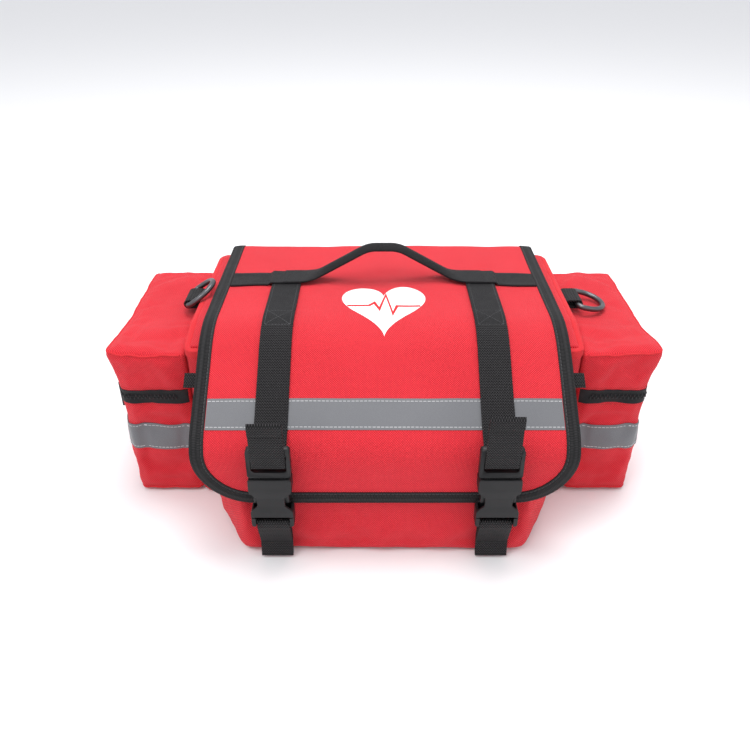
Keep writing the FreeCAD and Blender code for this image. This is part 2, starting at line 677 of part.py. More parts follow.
for side, sign in sides.items():
    lift = -cell.ringDown if side == "right" else cell.ringUp
    ring = ringSolid()
    ring.rotate(Vector(), Vector(0, 1, 0), -lift)
    if sign < 0:
        ring = ring.mirror(Vector(), Vector(1, 0, 0))
    ring.translate(Vector(sign * ringX, ringY, cell.ringHeight))
    addShape(f"{side}_d_ring", ring)

    low, high = ringY - cell.webWide / 2, ringY + cell.webWide / 2
    sleeveIn = wire + cell.ringFit
    sleeve = Part.makeCylinder(sleeveIn + cell.webThick, cell.webWide, Vector(ringX, low, cell.ringHeight),
                               Vector(0, 1, 0))
    tongue = block((halfWidth, low, cell.ringHeight - cell.webThick),
                   (ringX, high, cell.ringHeight + cell.webThick))
    patch = block((halfWidth, low, cell.ringHeight - 5),
                  (halfWidth + cell.webThick, high, cell.ringHeight + 6))
    hole = Part.makeCylinder(sleeveIn, cell.webWide + 2, Vector(ringX, low - 1, cell.ringHeight),
                             Vector(0, 1, 0))
    tab = sleeve.fuse([tongue, patch]).cut(hole)
    addShape(f"{side}_ring_tab", tab if sign > 0 else tab.mirror(Vector(), Vector(1, 0, 0)))


# ---- build, check and write ----

doc.recompute()
faults = [o.Label for o in doc.Objects if {"Invalid", "Error"} & set(o.State)]
faults += [o.Label for o in made if o.Shape.isNull() or not o.Shape.isValid() or not o.Shape.Solids]
if faults:
    raise SystemExit(f"these failed: {sorted(set(faults))}")
os.makedirs("parts", exist_ok=True)
for old in os.listdir("parts"):
    if old.endswith(".step"):
        os.remove(os.path.join("parts", old))
for piece in made:
    piece.Shape.exportStep(f"parts/{piece.Label}.step")
print(len(made), "pieces")
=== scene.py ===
import bisect
import json
import math

import bmesh
import bpy
from mathutils import Matrix, Vector, noise
from mathutils.bvhtree import BVHTree

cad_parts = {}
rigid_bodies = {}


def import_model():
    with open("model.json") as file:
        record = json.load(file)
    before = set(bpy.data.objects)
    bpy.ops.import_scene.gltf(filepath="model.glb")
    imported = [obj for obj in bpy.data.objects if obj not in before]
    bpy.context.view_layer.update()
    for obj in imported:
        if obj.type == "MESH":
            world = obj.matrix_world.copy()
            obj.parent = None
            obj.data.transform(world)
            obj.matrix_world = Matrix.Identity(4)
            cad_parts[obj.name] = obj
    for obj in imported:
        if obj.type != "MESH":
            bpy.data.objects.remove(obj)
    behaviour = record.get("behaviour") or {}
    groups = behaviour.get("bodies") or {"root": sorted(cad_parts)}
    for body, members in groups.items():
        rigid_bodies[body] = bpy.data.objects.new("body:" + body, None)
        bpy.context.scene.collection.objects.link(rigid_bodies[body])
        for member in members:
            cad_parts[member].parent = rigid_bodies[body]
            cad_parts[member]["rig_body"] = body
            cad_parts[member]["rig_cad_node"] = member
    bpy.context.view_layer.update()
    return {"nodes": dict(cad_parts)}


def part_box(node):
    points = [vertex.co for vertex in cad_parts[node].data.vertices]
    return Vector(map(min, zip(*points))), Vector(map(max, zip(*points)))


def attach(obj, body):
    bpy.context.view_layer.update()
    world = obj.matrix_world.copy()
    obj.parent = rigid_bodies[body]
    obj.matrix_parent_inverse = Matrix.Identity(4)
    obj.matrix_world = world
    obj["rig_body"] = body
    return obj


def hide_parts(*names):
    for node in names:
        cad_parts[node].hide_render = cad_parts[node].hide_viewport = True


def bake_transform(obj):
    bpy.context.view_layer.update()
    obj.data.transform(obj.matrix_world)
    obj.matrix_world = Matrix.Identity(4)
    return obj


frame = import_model()
mm = 0.001
sides = {"left": -1, "right": 1}


# the workbench: picking up, finishing and bending pieces

def putDown():
    if bpy.context.object and bpy.context.object.mode != "OBJECT":
        bpy.ops.object.mode_set(mode="OBJECT")
    bpy.ops.object.select_all(action="DESELECT")


def pickUp(piece):
    putDown()
    piece.select_set(True)
    bpy.context.view_layer.objects.active = piece


def settle(piece):
    pickUp(piece)
    bpy.ops.object.transform_apply(location=True, rotation=True, scale=True)
    return piece


def modify(piece, kind, **values):  # add one modifier, set it and apply it
    pickUp(piece)
    modifier = piece.modifiers.new(kind.lower(), kind)
    for key, value in values.items():
        setattr(modifier, key, value)
    bpy.ops.object.modifier_apply(modifier=modifier.name)
    return piece


def tidyNormals(piece):
    pickUp(piece)
    bpy.ops.object.mode_set(mode="EDIT")
    bpy.ops.mesh.select_all(action="SELECT")
    bpy.ops.mesh.remove_doubles(threshold=0.02 * mm)
    bpy.ops.mesh.normals_make_consistent(inside=False)
    bpy.ops.object.mode_set(mode="OBJECT")
    return piece


def smooth(piece, angle=40):
    pickUp(piece)
    bpy.ops.object.shade_smooth_by_angle(angle=math.radians(angle))
    return piece


def flatUv(piece):  # the cloth's own coordinates, in metres, while it still lies flat
    layer = piece.data.uv_layers.get("cloth") or piece.data.uv_layers.new(name="cloth")
    for loop in piece.data.loops:
        place = piece.data.vertices[loop.vertex_index].co
        layer.data[loop.index].uv = (place.x, place.y)
    return piece


def boxUv(piece):  # each face takes the plane that it looks along
    layer = piece.data.uv_layers.get("cloth") or piece.data.uv_layers.new(name="cloth")
    for face in piece.data.polygons:
        look = [abs(n) for n in face.normal]
        first, second = [(1, 2), (0, 2), (0, 1)][look.index(max(look))]
        for index in face.loop_indices:
            place = piece.data.vertices[piece.data.loops[index].vertex_index].co
            layer.data[index].uv = (place[first], place[second])
    return piece


def flatPiece(name, width, length, across, along, start=0.0, middle=0.0):
    bpy.ops.mesh.primitive_grid_add(x_subdivisions=across, y_subdivisions=along, size=1)
    piece = bpy.context.object
    piece.name = name
    piece.scale = (width, length, 1)
    piece.location = (middle, start + length / 2, 0)
    return flatUv(settle(piece))


def flatBar(name, size, place=(0, 0, 0), bevel=0.0, segments=2):
    bpy.ops.mesh.primitive_cube_add(size=1, location=place)
    piece = bpy.context.object
    piece.name = name
    piece.scale = size
    settle(piece)
    if bevel:
        modify(piece, "BEVEL", width=bevel, segments=segments)
    return piece


def makeLine(points):  # a route with its running lengths and its direction at each point
    lengths = [0.0]
    for a, b in zip(points, points[1:]):
        lengths.append(lengths[-1] + (b - a).length)
    ahead = [(b - a).normalized() for a, b in zip(points, points[1:])]
    turns = [ahead[0]] + [(a + b).normalized() for a, b in zip(ahead, ahead[1:])] + [ahead[-1]]
    return {"points": points, "lengths": lengths, "turns": turns, "total": lengths[-1]}


def onLine(line, distance):
    lengths, points, turns = line["lengths"], line["points"], line["turns"]
    n = min(max(bisect.bisect_right(lengths, distance) - 1, 0), len(points) - 2)
    share = (distance - lengths[n]) / (lengths[n + 1] - lengths[n])
    near = min(max(share, 0), 1)
    return points[n].lerp(points[n + 1], share), (turns[n] * (1 - near) + turns[n + 1] * near).normalized()


def roundedLine(corners, radius, steps=8, closed=False):
    corners = [Vector(c) for c in corners]
    if closed:
        middle = (corners[0] + corners[-1]) / 2
        corners = [middle] + corners + [middle]
    points = [corners[0]]
    for before, corner, after in zip(corners, corners[1:], corners[2:]):
        back, on = before - corner, after - corner
        half = back.angle(on) / 2
        if half > 1.54:
            points.append(corner)
            continue
        reach = min(radius / math.tan(half), 0.49 * back.length, 0.49 * on.length)
        arc = reach * math.tan(half)
        centre = corner + (back.normalized() + on.normalized()).normalized() * arc / math.sin(half)
        start = corner + back.normalized() * reach - centre
        end = corner + on.normalized() * reach - centre
        points += [centre + start.slerp(end, n / steps).normalized() * arc for n in range(steps + 1)]
    points.append(corners[-1])
    kept = points[:1]
    for point in points[1:]:
        if (point - kept[-1]).length > 1e-5:
            kept.append(point)
    return makeLine(kept)


def bend(piece, line, across, swell=None):  # flat x goes across, flat y along the line, z off it
    across = Vector(across)
    for vertex in piece.data.vertices:
        flat = vertex.co.copy()
        place, ahead = onLine(line, flat.y)
        lift = flat.z + (swell(flat.x, flat.y) if swell else 0)
        vertex.co = place + across * flat.x + ahead.cross(across).normalized() * lift
    piece.data.update()
    return piece


def easeIn(value):  # 0 to 1, slow at both ends
    value = min(max(value, 0.0), 1.0)
    return value * value * (3 - 2 * value)


def fromEdit(name, edited):
    mesh = bpy.data.meshes.new(name)
    edited.to_mesh(mesh)
    edited.free()
    piece = bpy.data.objects.new(name, mesh)
    bpy.context.collection.objects.link(piece)
    return piece


def repeated(name, template, places):  # many copies of one small shape, as one piece
    joined = bmesh.new()
    for place in places:
        copy = template.data.copy()
        copy.transform(place)
        joined.from_mesh(copy)
        bpy.data.meshes.remove(copy)
    return fromEdit(name, joined)


def sweptTape(name, rings, lengths, closed=False):  # a tape's section carried from ring to ring
    edited = bmesh.new()
    uv = edited.loops.layers.uv.new("cloth")
    rows = [[edited.verts.new(place) for place in ring] for ring in rings]
    for n in range(len(rows) if closed else len(rows) - 1):
        ring, after = rows[n], rows[(n + 1) % len(rows)]
        for k in range(len(ring)):
            onward = (k + 1) % len(ring)
            face = edited.faces.new([ring[k], after[k], after[onward], ring[onward]])
            for loop, (over, step) in zip(face.loops, [(k, n), (k, n + 1), (k + 1, n + 1), (k + 1, n)]):
                loop[uv].uv = (over * 2.4 * mm, lengths[step])
    if not closed:
        edited.faces.new(rows[0])
        edited.faces.new(list(reversed(rows[-1])))
    bmesh.ops.recalc_face_normals(edited, faces=edited.faces)
    return fromEdit(name, edited)


def treeOf(thing):
    mesh = thing.data
    corners = [v.co.copy() for v in mesh.vertices]
    return BVHTree.FromPolygons(corners, [tuple(p.vertices) for p in mesh.polygons])


def moveTo(piece, offset):
    piece.data.transform(Matrix.Translation(Vector(offset)))
    return piece


def finishPiece(piece, name, body, material, replaces=(), shade=40):
    piece.name = name
    piece.data.name = name
    piece.data.materials.clear()
    piece.data.materials.append(material)
    if shade:
        smooth(piece, shade)
    if body:
        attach(piece, body)
    if replaces:
        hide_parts(*replaces)
    return piece


# finishes

def newFinish(name, colour, rough, metal=0.0, sheen=0.0, specular=0.5):
    material = bpy.data.materials.new(name)
    material.use_nodes = True
    shader = material.node_tree.nodes["Principled BSDF"]
    shader.inputs["Base Color"].default_value = (*colour, 1)
    shader.inputs["Roughness"].default_value = rough
    shader.inputs["Metallic"].default_value = metal
    shader.inputs["Sheen Weight"].default_value = sheen
    shader.inputs["Sheen Roughness"].default_value = 0.5
    shader.inputs["Specular IOR Level"].default_value = specular
    return material


def node(material, kind, links=None, **values):
    made = material.node_tree.nodes.new("ShaderNode" + kind)
    for key, value in values.items():
        if key in made.inputs.keys():
            made.inputs[key].default_value = value
        else:
            setattr(made, key, value)
    for key, socket in (links or {}).items():
        material.node_tree.links.new(socket, made.inputs[key])
    return made


def maths(material, kind, first, second=0.0):
    made = node(material, "Math", operation=kind)
    for index, value in enumerate((first, second)):
        if isinstance(value, (int, float)):
            made.inputs[index].default_value = value
        else:
            material.node_tree.links.new(value, made.inputs[index])
    return made.outputs[0]


def blend(material, *shares):  # a weighted sum of patterns
    total = None
    for pattern, weight in shares:
        part = pattern if weight == 1 else maths(material, "MULTIPLY", pattern, weight)
        total = part if total is None else maths(material, "ADD", total, part)
    return total


def clothUv(material):  # the piece's own coordinates, in metres
    uv = node(material, "UVMap", uv_map="cloth")
    split = node(material, "SeparateXYZ", {"Vector": uv.outputs[0]})
    return split.outputs[0], split.outputs[1]


def wave(material, along, pitch):
    return maths(material, "SINE", maths(material, "MULTIPLY", along, 2 * math.pi / pitch))


def blotches(material, scale, detail=3.0):
    place = node(material, "TexCoord").outputs["Object"]
    made = node(material, "TexNoise", {"Vector": place}, Scale=scale, Detail=detail, Roughness=0.6)
    return made.outputs["Fac"]


def finishNodes(material, height, depth, strength, tint, low, high, roughLow, roughHigh, wear):
    links = material.node_tree.links
    shader = material.node_tree.nodes["Principled BSDF"]
    bump = node(material, "Bump", {"Height": height}, Strength=strength, Distance=depth)
    links.new(bump.outputs[0], shader.inputs["Normal"])
    # the ramp turns tint into base colour; in the woven and webbing finishes tint includes painted shade in the
    # weave's dips and a painted highlight on its crossings
    ramp = node(material, "ValToRGB", {"Fac": tint})
    ramp.color_ramp.elements[0].color = (*low, 1)
    ramp.color_ramp.elements[1].color = (*high, 1)
    ramp.color_ramp.elements[0].position = 0.25
    ramp.color_ramp.elements[1].position = 0.78
    links.new(ramp.outputs[0], shader.inputs["Base Color"])
    spread = node(material, "MapRange", {"Value": wear})
    spread.inputs["To Min"].default_value = roughLow
    spread.inputs["To Max"].default_value = roughHigh
    links.new(spread.outputs[0], shader.inputs["Roughness"])
    return material


def wovenFinish(name, low, high, pitch, depth, strength=0.6, rough=(0.62, 0.8), sheen=0.06):
    material = newFinish(name, high, 0.7, sheen=sheen, specular=0.3)
    across, along = clothUv(material)
    basket = maths(material, "MULTIPLY", wave(material, across, pitch), wave(material, along, pitch))
    slub = blotches(material, 900, 2)
    height = blend(material, (basket, 1), (slub, 0.4))
    # colour: random tone from the slow blotches and slub (real), plus painted shade in the weave's dips and a
    # painted highlight on its crossings, following the basket bump
    tint = blend(material, (blotches(material, 14), 0.36), (basket, 0.62), (slub, 0.3))
    return finishNodes(material, height, depth, strength, tint, low, high, *rough, blotches(material, 40))


def webbingFinish(name, rib, yarn, low, high, depth, strength=0.9, rough=(0.5, 0.72)):
    material = newFinish(name, high, 0.6, sheen=0.02, specular=0.28)
    across, along = clothUv(material)
    ribs = wave(material, along, rib)
    yarns = wave(material, across, yarn)
    cross = maths(material, "MULTIPLY", ribs, yarns)
    fuzz = blotches(material, 700, 2)
    height = blend(material, (cross, 0.75), (ribs, 0.5), (fuzz, 0.5))
    # colour: painted shade between the yarns and a painted highlight on their crossings, following the cross
    # pattern of the bump, plus random fuzz tone
    tint = blend(material, (cross, 0.8), (fuzz, 0.3))
    return finishNodes(material, height, depth, strength, tint, low, high, *rough, blotches(material, 60))


def solidFinish(name, low, high, rough, metal, grain, depth, strength, specular=0.5):
    material = newFinish(name, high, rough[0], metal=metal, specular=specular)
    return finishNodes(material, blotches(material, grain, 2), depth, strength, blotches(material, 35),
                       low, high, *rough, blotches(material, 130, 4))


redCloth = wovenFinish("red_woven_cloth", (0.64, 0.012, 0.024), (1.0, 0.042, 0.062),
                       1.8 * mm, 0.5 * mm, strength=0.9)
redLining = wovenFinish("red_lining", (0.52, 0.009, 0.016), (0.78, 0.026, 0.036), 0.9 * mm, 0.1 * mm)
silverTape = wovenFinish("reflective_silver", (0.12, 0.122, 0.13), (0.185, 0.188, 0.2),
                         0.9 * mm, 0.06 * mm, strength=0.35, rough=(0.34, 0.5), sheen=0.0)
whitePrint = wovenFinish("white_print", (0.80, 0.80, 0.79), (0.92, 0.92, 0.91),
                         1.3 * mm, 0.12 * mm, strength=0.4, sheen=0.0)
redPrint = wovenFinish("red_print", (0.6, 0.008, 0.012), (0.8, 0.02, 0.024), 1.3 * mm, 0.12 * mm, strength=0.4)
coal = (0.0015, 0.0015, 0.002)
blackWeb = webbingFinish("black_webbing", 2.3 * mm, 1.9 * mm, coal, (0.055, 0.05, 0.053), 0.8 * mm)
smoothWeb = webbingFinish("black_sewn_web", 1.1 * mm, 0.9 * mm, coal, (0.03, 0.027, 0.03), 0.3 * mm)
blackTape = webbingFinish("black_binding_tape", 1.2 * mm, 3.5 * mm, coal, (0.03, 0.028, 0.03), 0.4 * mm)
zipTape = webbingFinish("zip_tape_weave", 0.8 * mm, 1.1 * mm, (0.004, 0.004, 0.005), (0.02, 0.02, 0.022),
                        0.12 * mm)
paleThread = solidFinish("pale_thread", (0.5, 0.5, 0.5), (0.66, 0.66, 0.66), (0.6, 0.75), 0,
                         2500, 0.1 * mm, 0.4)
blackThread = solidFinish("black_thread", (0.02, 0.02, 0.022), (0.07, 0.07, 0.074), (0.5, 0.7), 0,
                          2500, 0.1 * mm, 0.4)
redThread = solidFinish("red_thread", (0.5, 0.008, 0.01), (0.75, 0.02, 0.024), (0.5, 0.7), 0,
                        2500, 0.1 * mm, 0.4)
buckleBlack = solidFinish("buckle_plastic", (0.004, 0.004, 0.005), (0.012, 0.012, 0.013), (0.38, 0.52), 0,
                          1400, 0.08 * mm, 0.35, specular=0.35)
ringSteel = solidFinish("ring_steel", (0.09, 0.09, 0.095), (0.17, 0.17, 0.18), (0.28, 0.42), 0.85,
                        600, 0.05 * mm, 0.25)
zipEnamel = solidFinish("zip_enamel", (0.012, 0.012, 0.013), (0.04, 0.04, 0.043), (0.3, 0.45), 0.6,
                        800, 0.05 * mm, 0.25)
zipNylon = solidFinish("zip_nylon", (0.006, 0.006, 0.007), (0.022, 0.022, 0.024), (0.35, 0.5), 0,
                       1200, 0.05 * mm, 0.3)
boardGrey = solidFinish("board_grey", (0.03, 0.03, 0.033), (0.06, 0.06, 0.064), (0.55, 0.75), 0,
                        500, 0.2 * mm, 0.4)
print("finishes ready")


# stitches: one thread shape, set along any line of places

bpy.ops.mesh.primitive_cylinder_add(vertices=6, radius=0.5, depth=1, rotation=(math.pi / 2, 0, 0))
thread = settle(bpy.context.object)
modify(thread, "BEVEL", width=0.18, segments=1, limit_method="NONE")


def stitch(x, y, angle, length, thick=0.55 * mm, height=0.2 * mm):
    return (Matrix.Translation((x, y, height)) @ Matrix.Rotation(angle, 4, "Z")
            @ Matrix.Diagonal((thick, length, thick * 0.7, 1)))


def stitchLine(start, end, pitch=3.2 * mm, fill=0.78, height=0.2 * mm, thick=0.55 * mm):
    start, end = Vector(start), Vector(end)
    run = end - start
    count = max(1, round(run.length / pitch))
    angle = math.atan2(-run.x, run.y)
    return [stitch(*(start + run * (n + 0.5) / count), angle, run.length / count * fill, thick, height)
            for n in range(count)]


def stitchBox(x, low, high, half, height):  # a sewn box with a cross in it
    corners = [(x - half, low), (x + half, low), (x + half, high), (x - half, high)]
    pairs = list(zip(corners, corners[1:] + corners[:1]))
    pairs += [(corners[0], corners[2]), (corners[1], corners[3])]
    return [place for a, b in pairs for place in stitchLine(a, b, pitch=2.6 * mm, height=height)]


def sewOn(name, rows, lay, body, material):  # lay puts the flat rows where they belong
    return finishPiece(lay(repeated(name, thread, rows)), name, body, material)


# the flap's own line, read off its outer face from the back seam to the front edge

flapNode = frame["nodes"]["flap_panel"]
flapLow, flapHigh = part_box("flap_panel")
bindLow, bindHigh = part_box("flap_binding")
flap = {
    "half": bindHigh.x,
    "thick": 3 * mm,
    "corner": 46 * mm,
    "margin": 1.2 * mm,
    "cutShare": 0.985,
    "swell": 3.0 * mm,
    "across": 72,
    "along": 96,
}
flapTree = treeOf(flapNode)
seam = min(v.co.z for v in flapNode.data.vertices if v.co.y > flapHigh.y - 1 * mm)
flapCore = Vector((0, -30 * mm, seam + 5 * mm))
firstTurn = math.atan2(seam - flapCore.z, flapHigh.y - flapCore.y)
lastTurn = math.atan2(bindLow.z - flapCore.z, flapLow.y - flapCore.y) + 2 * math.pi
outline = []
for n in range(241):
    turn = firstTurn + (lastTurn - firstTurn) * n / 240
    ray = Vector((0, math.cos(turn), math.sin(turn)))
    hit = flapTree.ray_cast(flapCore + ray * 0.4, -ray, 0.4)[0]
    if hit:
        outline.append(hit)
lastPoint = outline[-1].copy()
lastPoint.z = bindLow.z
outline.append(lastPoint)
flapLine = makeLine([p for n, p in enumerate(outline) if n == 0 or (p - outline[n - 1]).length > 1e-5])
flapLong = flapLine["total"]
print("flap is", round(flapLong, 4), "m long from its seam to its front edge")


def flapReach(y, above=100 * mm):  # how far along the flap a place on its top lies
    found = [(abs(p.y - y), d) for p, d in zip(flapLine["points"], flapLine["lengths"]) if p.z > above]
    return min(found)[1]


def flapSwell(x, along):  # the cloth's slow rise and fall over what is inside
    front = max(0.0, min(1.0, (flapLong - along) / (70 * mm)))
    back = max(0.0, min(1.0, along / (60 * mm)))
    calm = front * back
    slow = noise.noise(Vector((x * 11, along * 9, 3.1)))
    fine = noise.noise(Vector((x * 34, along * 22, 7.7)))
    crown = 1 - (x / flap["half"]) ** 2
    return flap["swell"] * calm * max(-0.12, 0.5 * crown + 0.45 * slow + 0.34 * fine)


def flapHalfAt(along):  # half the flap's width, narrower round its front corners
    left = flapLong - along
    if left >= flap["corner"]:
        return flap["half"]
    short = flap["corner"] - max(left, 0)
    return flap["half"] - flap["corner"] + math.sqrt(max(flap["corner"] ** 2 - short ** 2, 0))


def onFlap(piece):
    return bend(piece, flapLine, (1, 0, 0), flapSwell)


def makeFlapCloth():
    margin = flap["margin"]
    cloth = flatPiece("flap", 2 * flap["half"] - 2 * margin, flapLong - margin, flap["across"], flap["along"])
    for vertex in cloth.data.vertices:
        place = vertex.co
        place.x *= (flapHalfAt(place.y + margin) - margin) / (flap["half"] - margin)
        place.z = 0
    flatUv(cloth)
    modify(cloth, "SOLIDIFY", thickness=flap["thick"], offset=-1)
    onFlap(cloth)
    finishPiece(cloth, "flap_cloth", "flap", redCloth, ["flap_panel"])
    return cloth


def edgePath(inset):  # down one side of the flap, round both front corners and up the other
    radius = flap["corner"] - inset
    half = flap["half"] - inset
    low = flapLong - inset
    middleX, middleY = half - radius, low - radius
    path = [Vector((-half, d * mm, 0)) for d in range(0, int(middleY / mm), 4)]
    path += [Vector((-middleX - radius * math.cos(t), middleY + radius * math.sin(t), 0))
             for t in [math.pi / 2 * n / 16 for n in range(17)]]
    steps = int(2 * middleX / (4 * mm))
    path += [Vector((-middleX + 2 * middleX * n / steps, low, 0)) for n in range(1, steps)]
    return path + [Vector((-p.x, p.y, 0)) for p in reversed(path[:-steps + 1])]


binding = {"wide": 11 * mm, "thick": 0.8 * mm, "under": 0.7 * mm, "edge": 0.4 * mm, "roll": 1.6 * mm,
           "row": 1.8 * mm, "pitch": 3.1 * mm, "stitch": 2.3 * mm}


def makeBinding():
    wide, thick, roll = binding["wide"], binding["thick"], binding["roll"]
    path = makeLine(edgePath(0))
    under = -flap["thick"]
    below = under - binding["under"]
    profile = [(wide, -0.2 * mm), (wide - binding["edge"], thick), (6.5 * mm, thick * 1.15), (roll, thick),
               (0.1 * mm, 0.1 * mm), (-0.15 * mm, under / 2), (0.1 * mm, under - 0.1 * mm), (roll, below),
               (wide - binding["edge"], below), (wide, under + 0.2 * mm)]
    rings = []
    for point, ahead in [onLine(path, distance) for distance in path["lengths"]]:
        inward = Vector((ahead.y, -ahead.x, 0))
        rings.append([point + inward * reach + Vector((0, 0, lift)) for reach, lift in profile])
    edge = onFlap(sweptTape("flap_edge_binding", rings, path["lengths"]))
    finishPiece(edge, "flap_edge_binding", "flap", blackTape, ["flap_binding"], shade=50)
    rows = []
    row = makeLine(edgePath(wide - binding["row"]))
    count = int(row["total"] / binding["pitch"])
    for n in range(count):
        point, ahead = onLine(row, (n + 0.5) * row["total"] / count)
        rows.append(stitch(point.x, point.y, math.atan2(-ahead.x, ahead.y), binding["stitch"], height=thick))
    sewOn("flap_binding_stitches", rows, onFlap, "flap", blackThread)


makeFlapCloth()
makeBinding()
print("flap and its binding made")


# reflective band and print on the flap

band = {"wide": 25 * mm, "thick": 0.4 * mm, "row": 2.2 * mm}
bandLow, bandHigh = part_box("flap_band")
bandEnd = flapReach(bandLow.y + 0.2 * mm)
bandStart = bandEnd - band["wide"]


def makeFlapBand():
    long = bandHigh.x - bandLow.x
    strip = flatPiece("band", long, band["wide"], 90, 8, start=bandStart)
    modify(strip, "SOLIDIFY", thickness=band["thick"], offset=1)
    onFlap(strip)
    finishPiece(strip, "flap_reflective_band", "flap", silverTape, ["flap_band"])
    rows = []
    for along in (bandStart + band["row"], bandEnd - band["row"]):
        rows += stitchLine((-long / 2, along), (long / 2, along), height=band["thick"])
    sewOn("flap_band_stitches", rows, onFlap, "flap", paleThread)


emblem = {"points": 96, "step": 4 * mm, "heart": 0.22 * mm, "pulse": 0.32 * mm,
          "beatLong": 0.86, "beatTall": 0.42, "beatWide": 2.6 * mm, "beatUp": 3 * mm}


def heartEdge(wide, long, count):
    points = []
    for n in range(count):
        turn = 2 * math.pi * n / count
        x = 16 * math.sin(turn) ** 3
        y = 13 * math.cos(turn) - 5 * math.cos(2 * turn) - 2 * math.cos(3 * turn) - math.cos(4 * turn)
        points.append((x / 32 * wide, -(y + 2.6) / 29 * long))
    return points


def cutUp(piece, low, high, step):  # fine enough to lie on a curved surface
    pickUp(piece)
    bpy.ops.object.mode_set(mode="EDIT")
    for axis in (0, 1):
        place = math.ceil(low[axis] / step) * step
        while place < high[axis]:
            bpy.ops.mesh.select_all(action="SELECT")
            normal = (1, 0, 0) if axis == 0 else (0, 1, 0)
            bpy.ops.mesh.bisect(plane_co=(place, place, 0), plane_no=normal)
            place += step
    bpy.ops.object.mode_set(mode="OBJECT")
    return piece


def printShape(name, edge, middle, lift):
    edited = bmesh.new()
    edited.faces.new([edited.verts.new((x, y + middle, 0)) for x, y in edge])
    bmesh.ops.recalc_face_normals(edited, faces=edited.faces)
    piece = fromEdit(name, edited)
    xs, ys = [e[0] for e in edge], [e[1] + middle for e in edge]
    cutUp(piece, (min(xs), min(ys)), (max(xs), max(ys)), emblem["step"])
    if piece.data.polygons[0].normal.z < 0:
        piece.data.flip_normals()
    flatUv(piece)
    modify(piece, "SOLIDIFY", thickness=lift, offset=1)
    return onFlap(piece)


def pulseEdge(long, tall, wide):  # one heartbeat drawn as a band of even width
    beat = [(-0.5, 0), (-0.2, 0), (-0.13, -0.16), (-0.06, 0.2),
            (0.03, -0.62), (0.12, 0.42), (0.18, 0), (0.5, 0)]
    points = [Vector((x * long, y * tall, 0)) for x, y in beat]
    line = makeLine(points)
    offsets = []
    afters = [(b - a).normalized() for a, b in zip(points, points[1:])] + [Vector((1, 0, 0))]
    for ahead, after in zip(line["turns"], afters):
        out = Vector((-ahead.y, ahead.x, 0))
        share = max(0.35, abs(ahead.dot(after)))
        offsets.append(out * wide / 2 / share)
    upper = [(p.x + o.x, p.y + o.y) for p, o in zip(points, offsets)]
    lower = [(p.x - o.x, p.y - o.y) for p, o in zip(points, offsets)]
    return upper + lower[::-1]


def makeEmblem():
    low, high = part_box("emblem_print")
    near, far = flapReach(high.y), flapReach(low.y)
    wide = high.x - low.x
    long = far - near
    middle = (near + far) / 2
    heart = printShape("heart", heartEdge(wide, long, emblem["points"]), middle, emblem["heart"])
    finishPiece(heart, "heart_print", "flap", whitePrint, ["emblem_print"])
    beat = pulseEdge(wide * emblem["beatLong"], long * emblem["beatTall"], emblem["beatWide"])
    pulse = printShape("pulse", beat, middle - emblem["beatUp"], emblem["pulse"])
    finishPiece(pulse, "pulse_print", "flap", redPrint)


makeFlapBand()
makeEmblem()
print("band and print made")


# the front pocket's sizes, which the straps over it follow

frontPocket = {"noseWidth": 240 * mm, "noseHeight": 91 * mm, "inset": 2.6 * mm, "voxel": 4.6 * mm,
               "foot": 5 * mm, "bulge": 8.5 * mm, "bulgeTo": 46 * mm, "floor": 0.8 * mm, "seam": 6 * mm,
               "crease": (1.2 * mm, 22), "grain": (0.4 * mm, 60), "edge": 6 * mm, "zipHalf": 8 * mm,
               "underFlap": 34 * mm, "calmOver": 20 * mm,
               "stuffing": {"stiff": 0.12, "slack": 0.03, "pressure": 3.5, "frames": 18, "cap": 4 * mm}}


def footBulge(height):  # how far the loaded pocket leans out near the ground
    return frontPocket["bulge"] * easeIn(1 - height / frontPocket["bulgeTo"])


# webbing: closure straps, lower straps, handle and ring tabs

web = {"wide": 25 * mm, "thick": 1.5 * mm, "lift": 0.75 * mm, "row": 2.4 * mm, "stitch": 2.6 * mm,
       "sewn": 92 * mm, "box": 20 * mm}
closure = {"start": 14 * mm, "steps": 60, "leaveShare": 0.4, "corner": 1.9 * mm, "hem": 9 * mm,
           "sewnFrom": 8 * mm, "tail": {"left": 134 * mm, "right": 140 * mm}}
lowerStrap = {"knee": 19 * mm, "corner": 2 * mm}
buckle = {"barRise": 10.4 * mm, "barTall": 3 * mm, "barHalf": 2 * mm, "topHalf": 3 * mm,
          "lowBarTall": 3 * mm, "lowBarHalf": 2.5 * mm, "gap": 0.3 * mm}


def softEdges(piece, width=0.35 * mm):
    return modify(piece, "BEVEL", width=width, segments=2, limit_method="ANGLE", angle_limit=math.radians(50))


def finishUpTo(piece, end, material):  # a second finish on the first stretch of a strap
    piece.data.materials.append(material)
    layer = piece.data.uv_layers["cloth"]
    for face in piece.data.polygons:
        middle = sum(layer.data[i].uv[1] for i in face.loop_indices) / len(face.loop_indices)
        if 0 <= middle <= end:
            face.material_index = 1


def strapAlong(line, across, offset, steps=None, side=1):  # webbing of full width along a route
    strap = flatPiece("strap", web["wide"], line["total"], 8, steps or int(line["total"] / (1.3 * mm)))
    modify(strap, "SOLIDIFY", thickness=web["thick"], offset=side)
    softEdges(strap)
    return moveTo(bend(strap, line, across), offset)


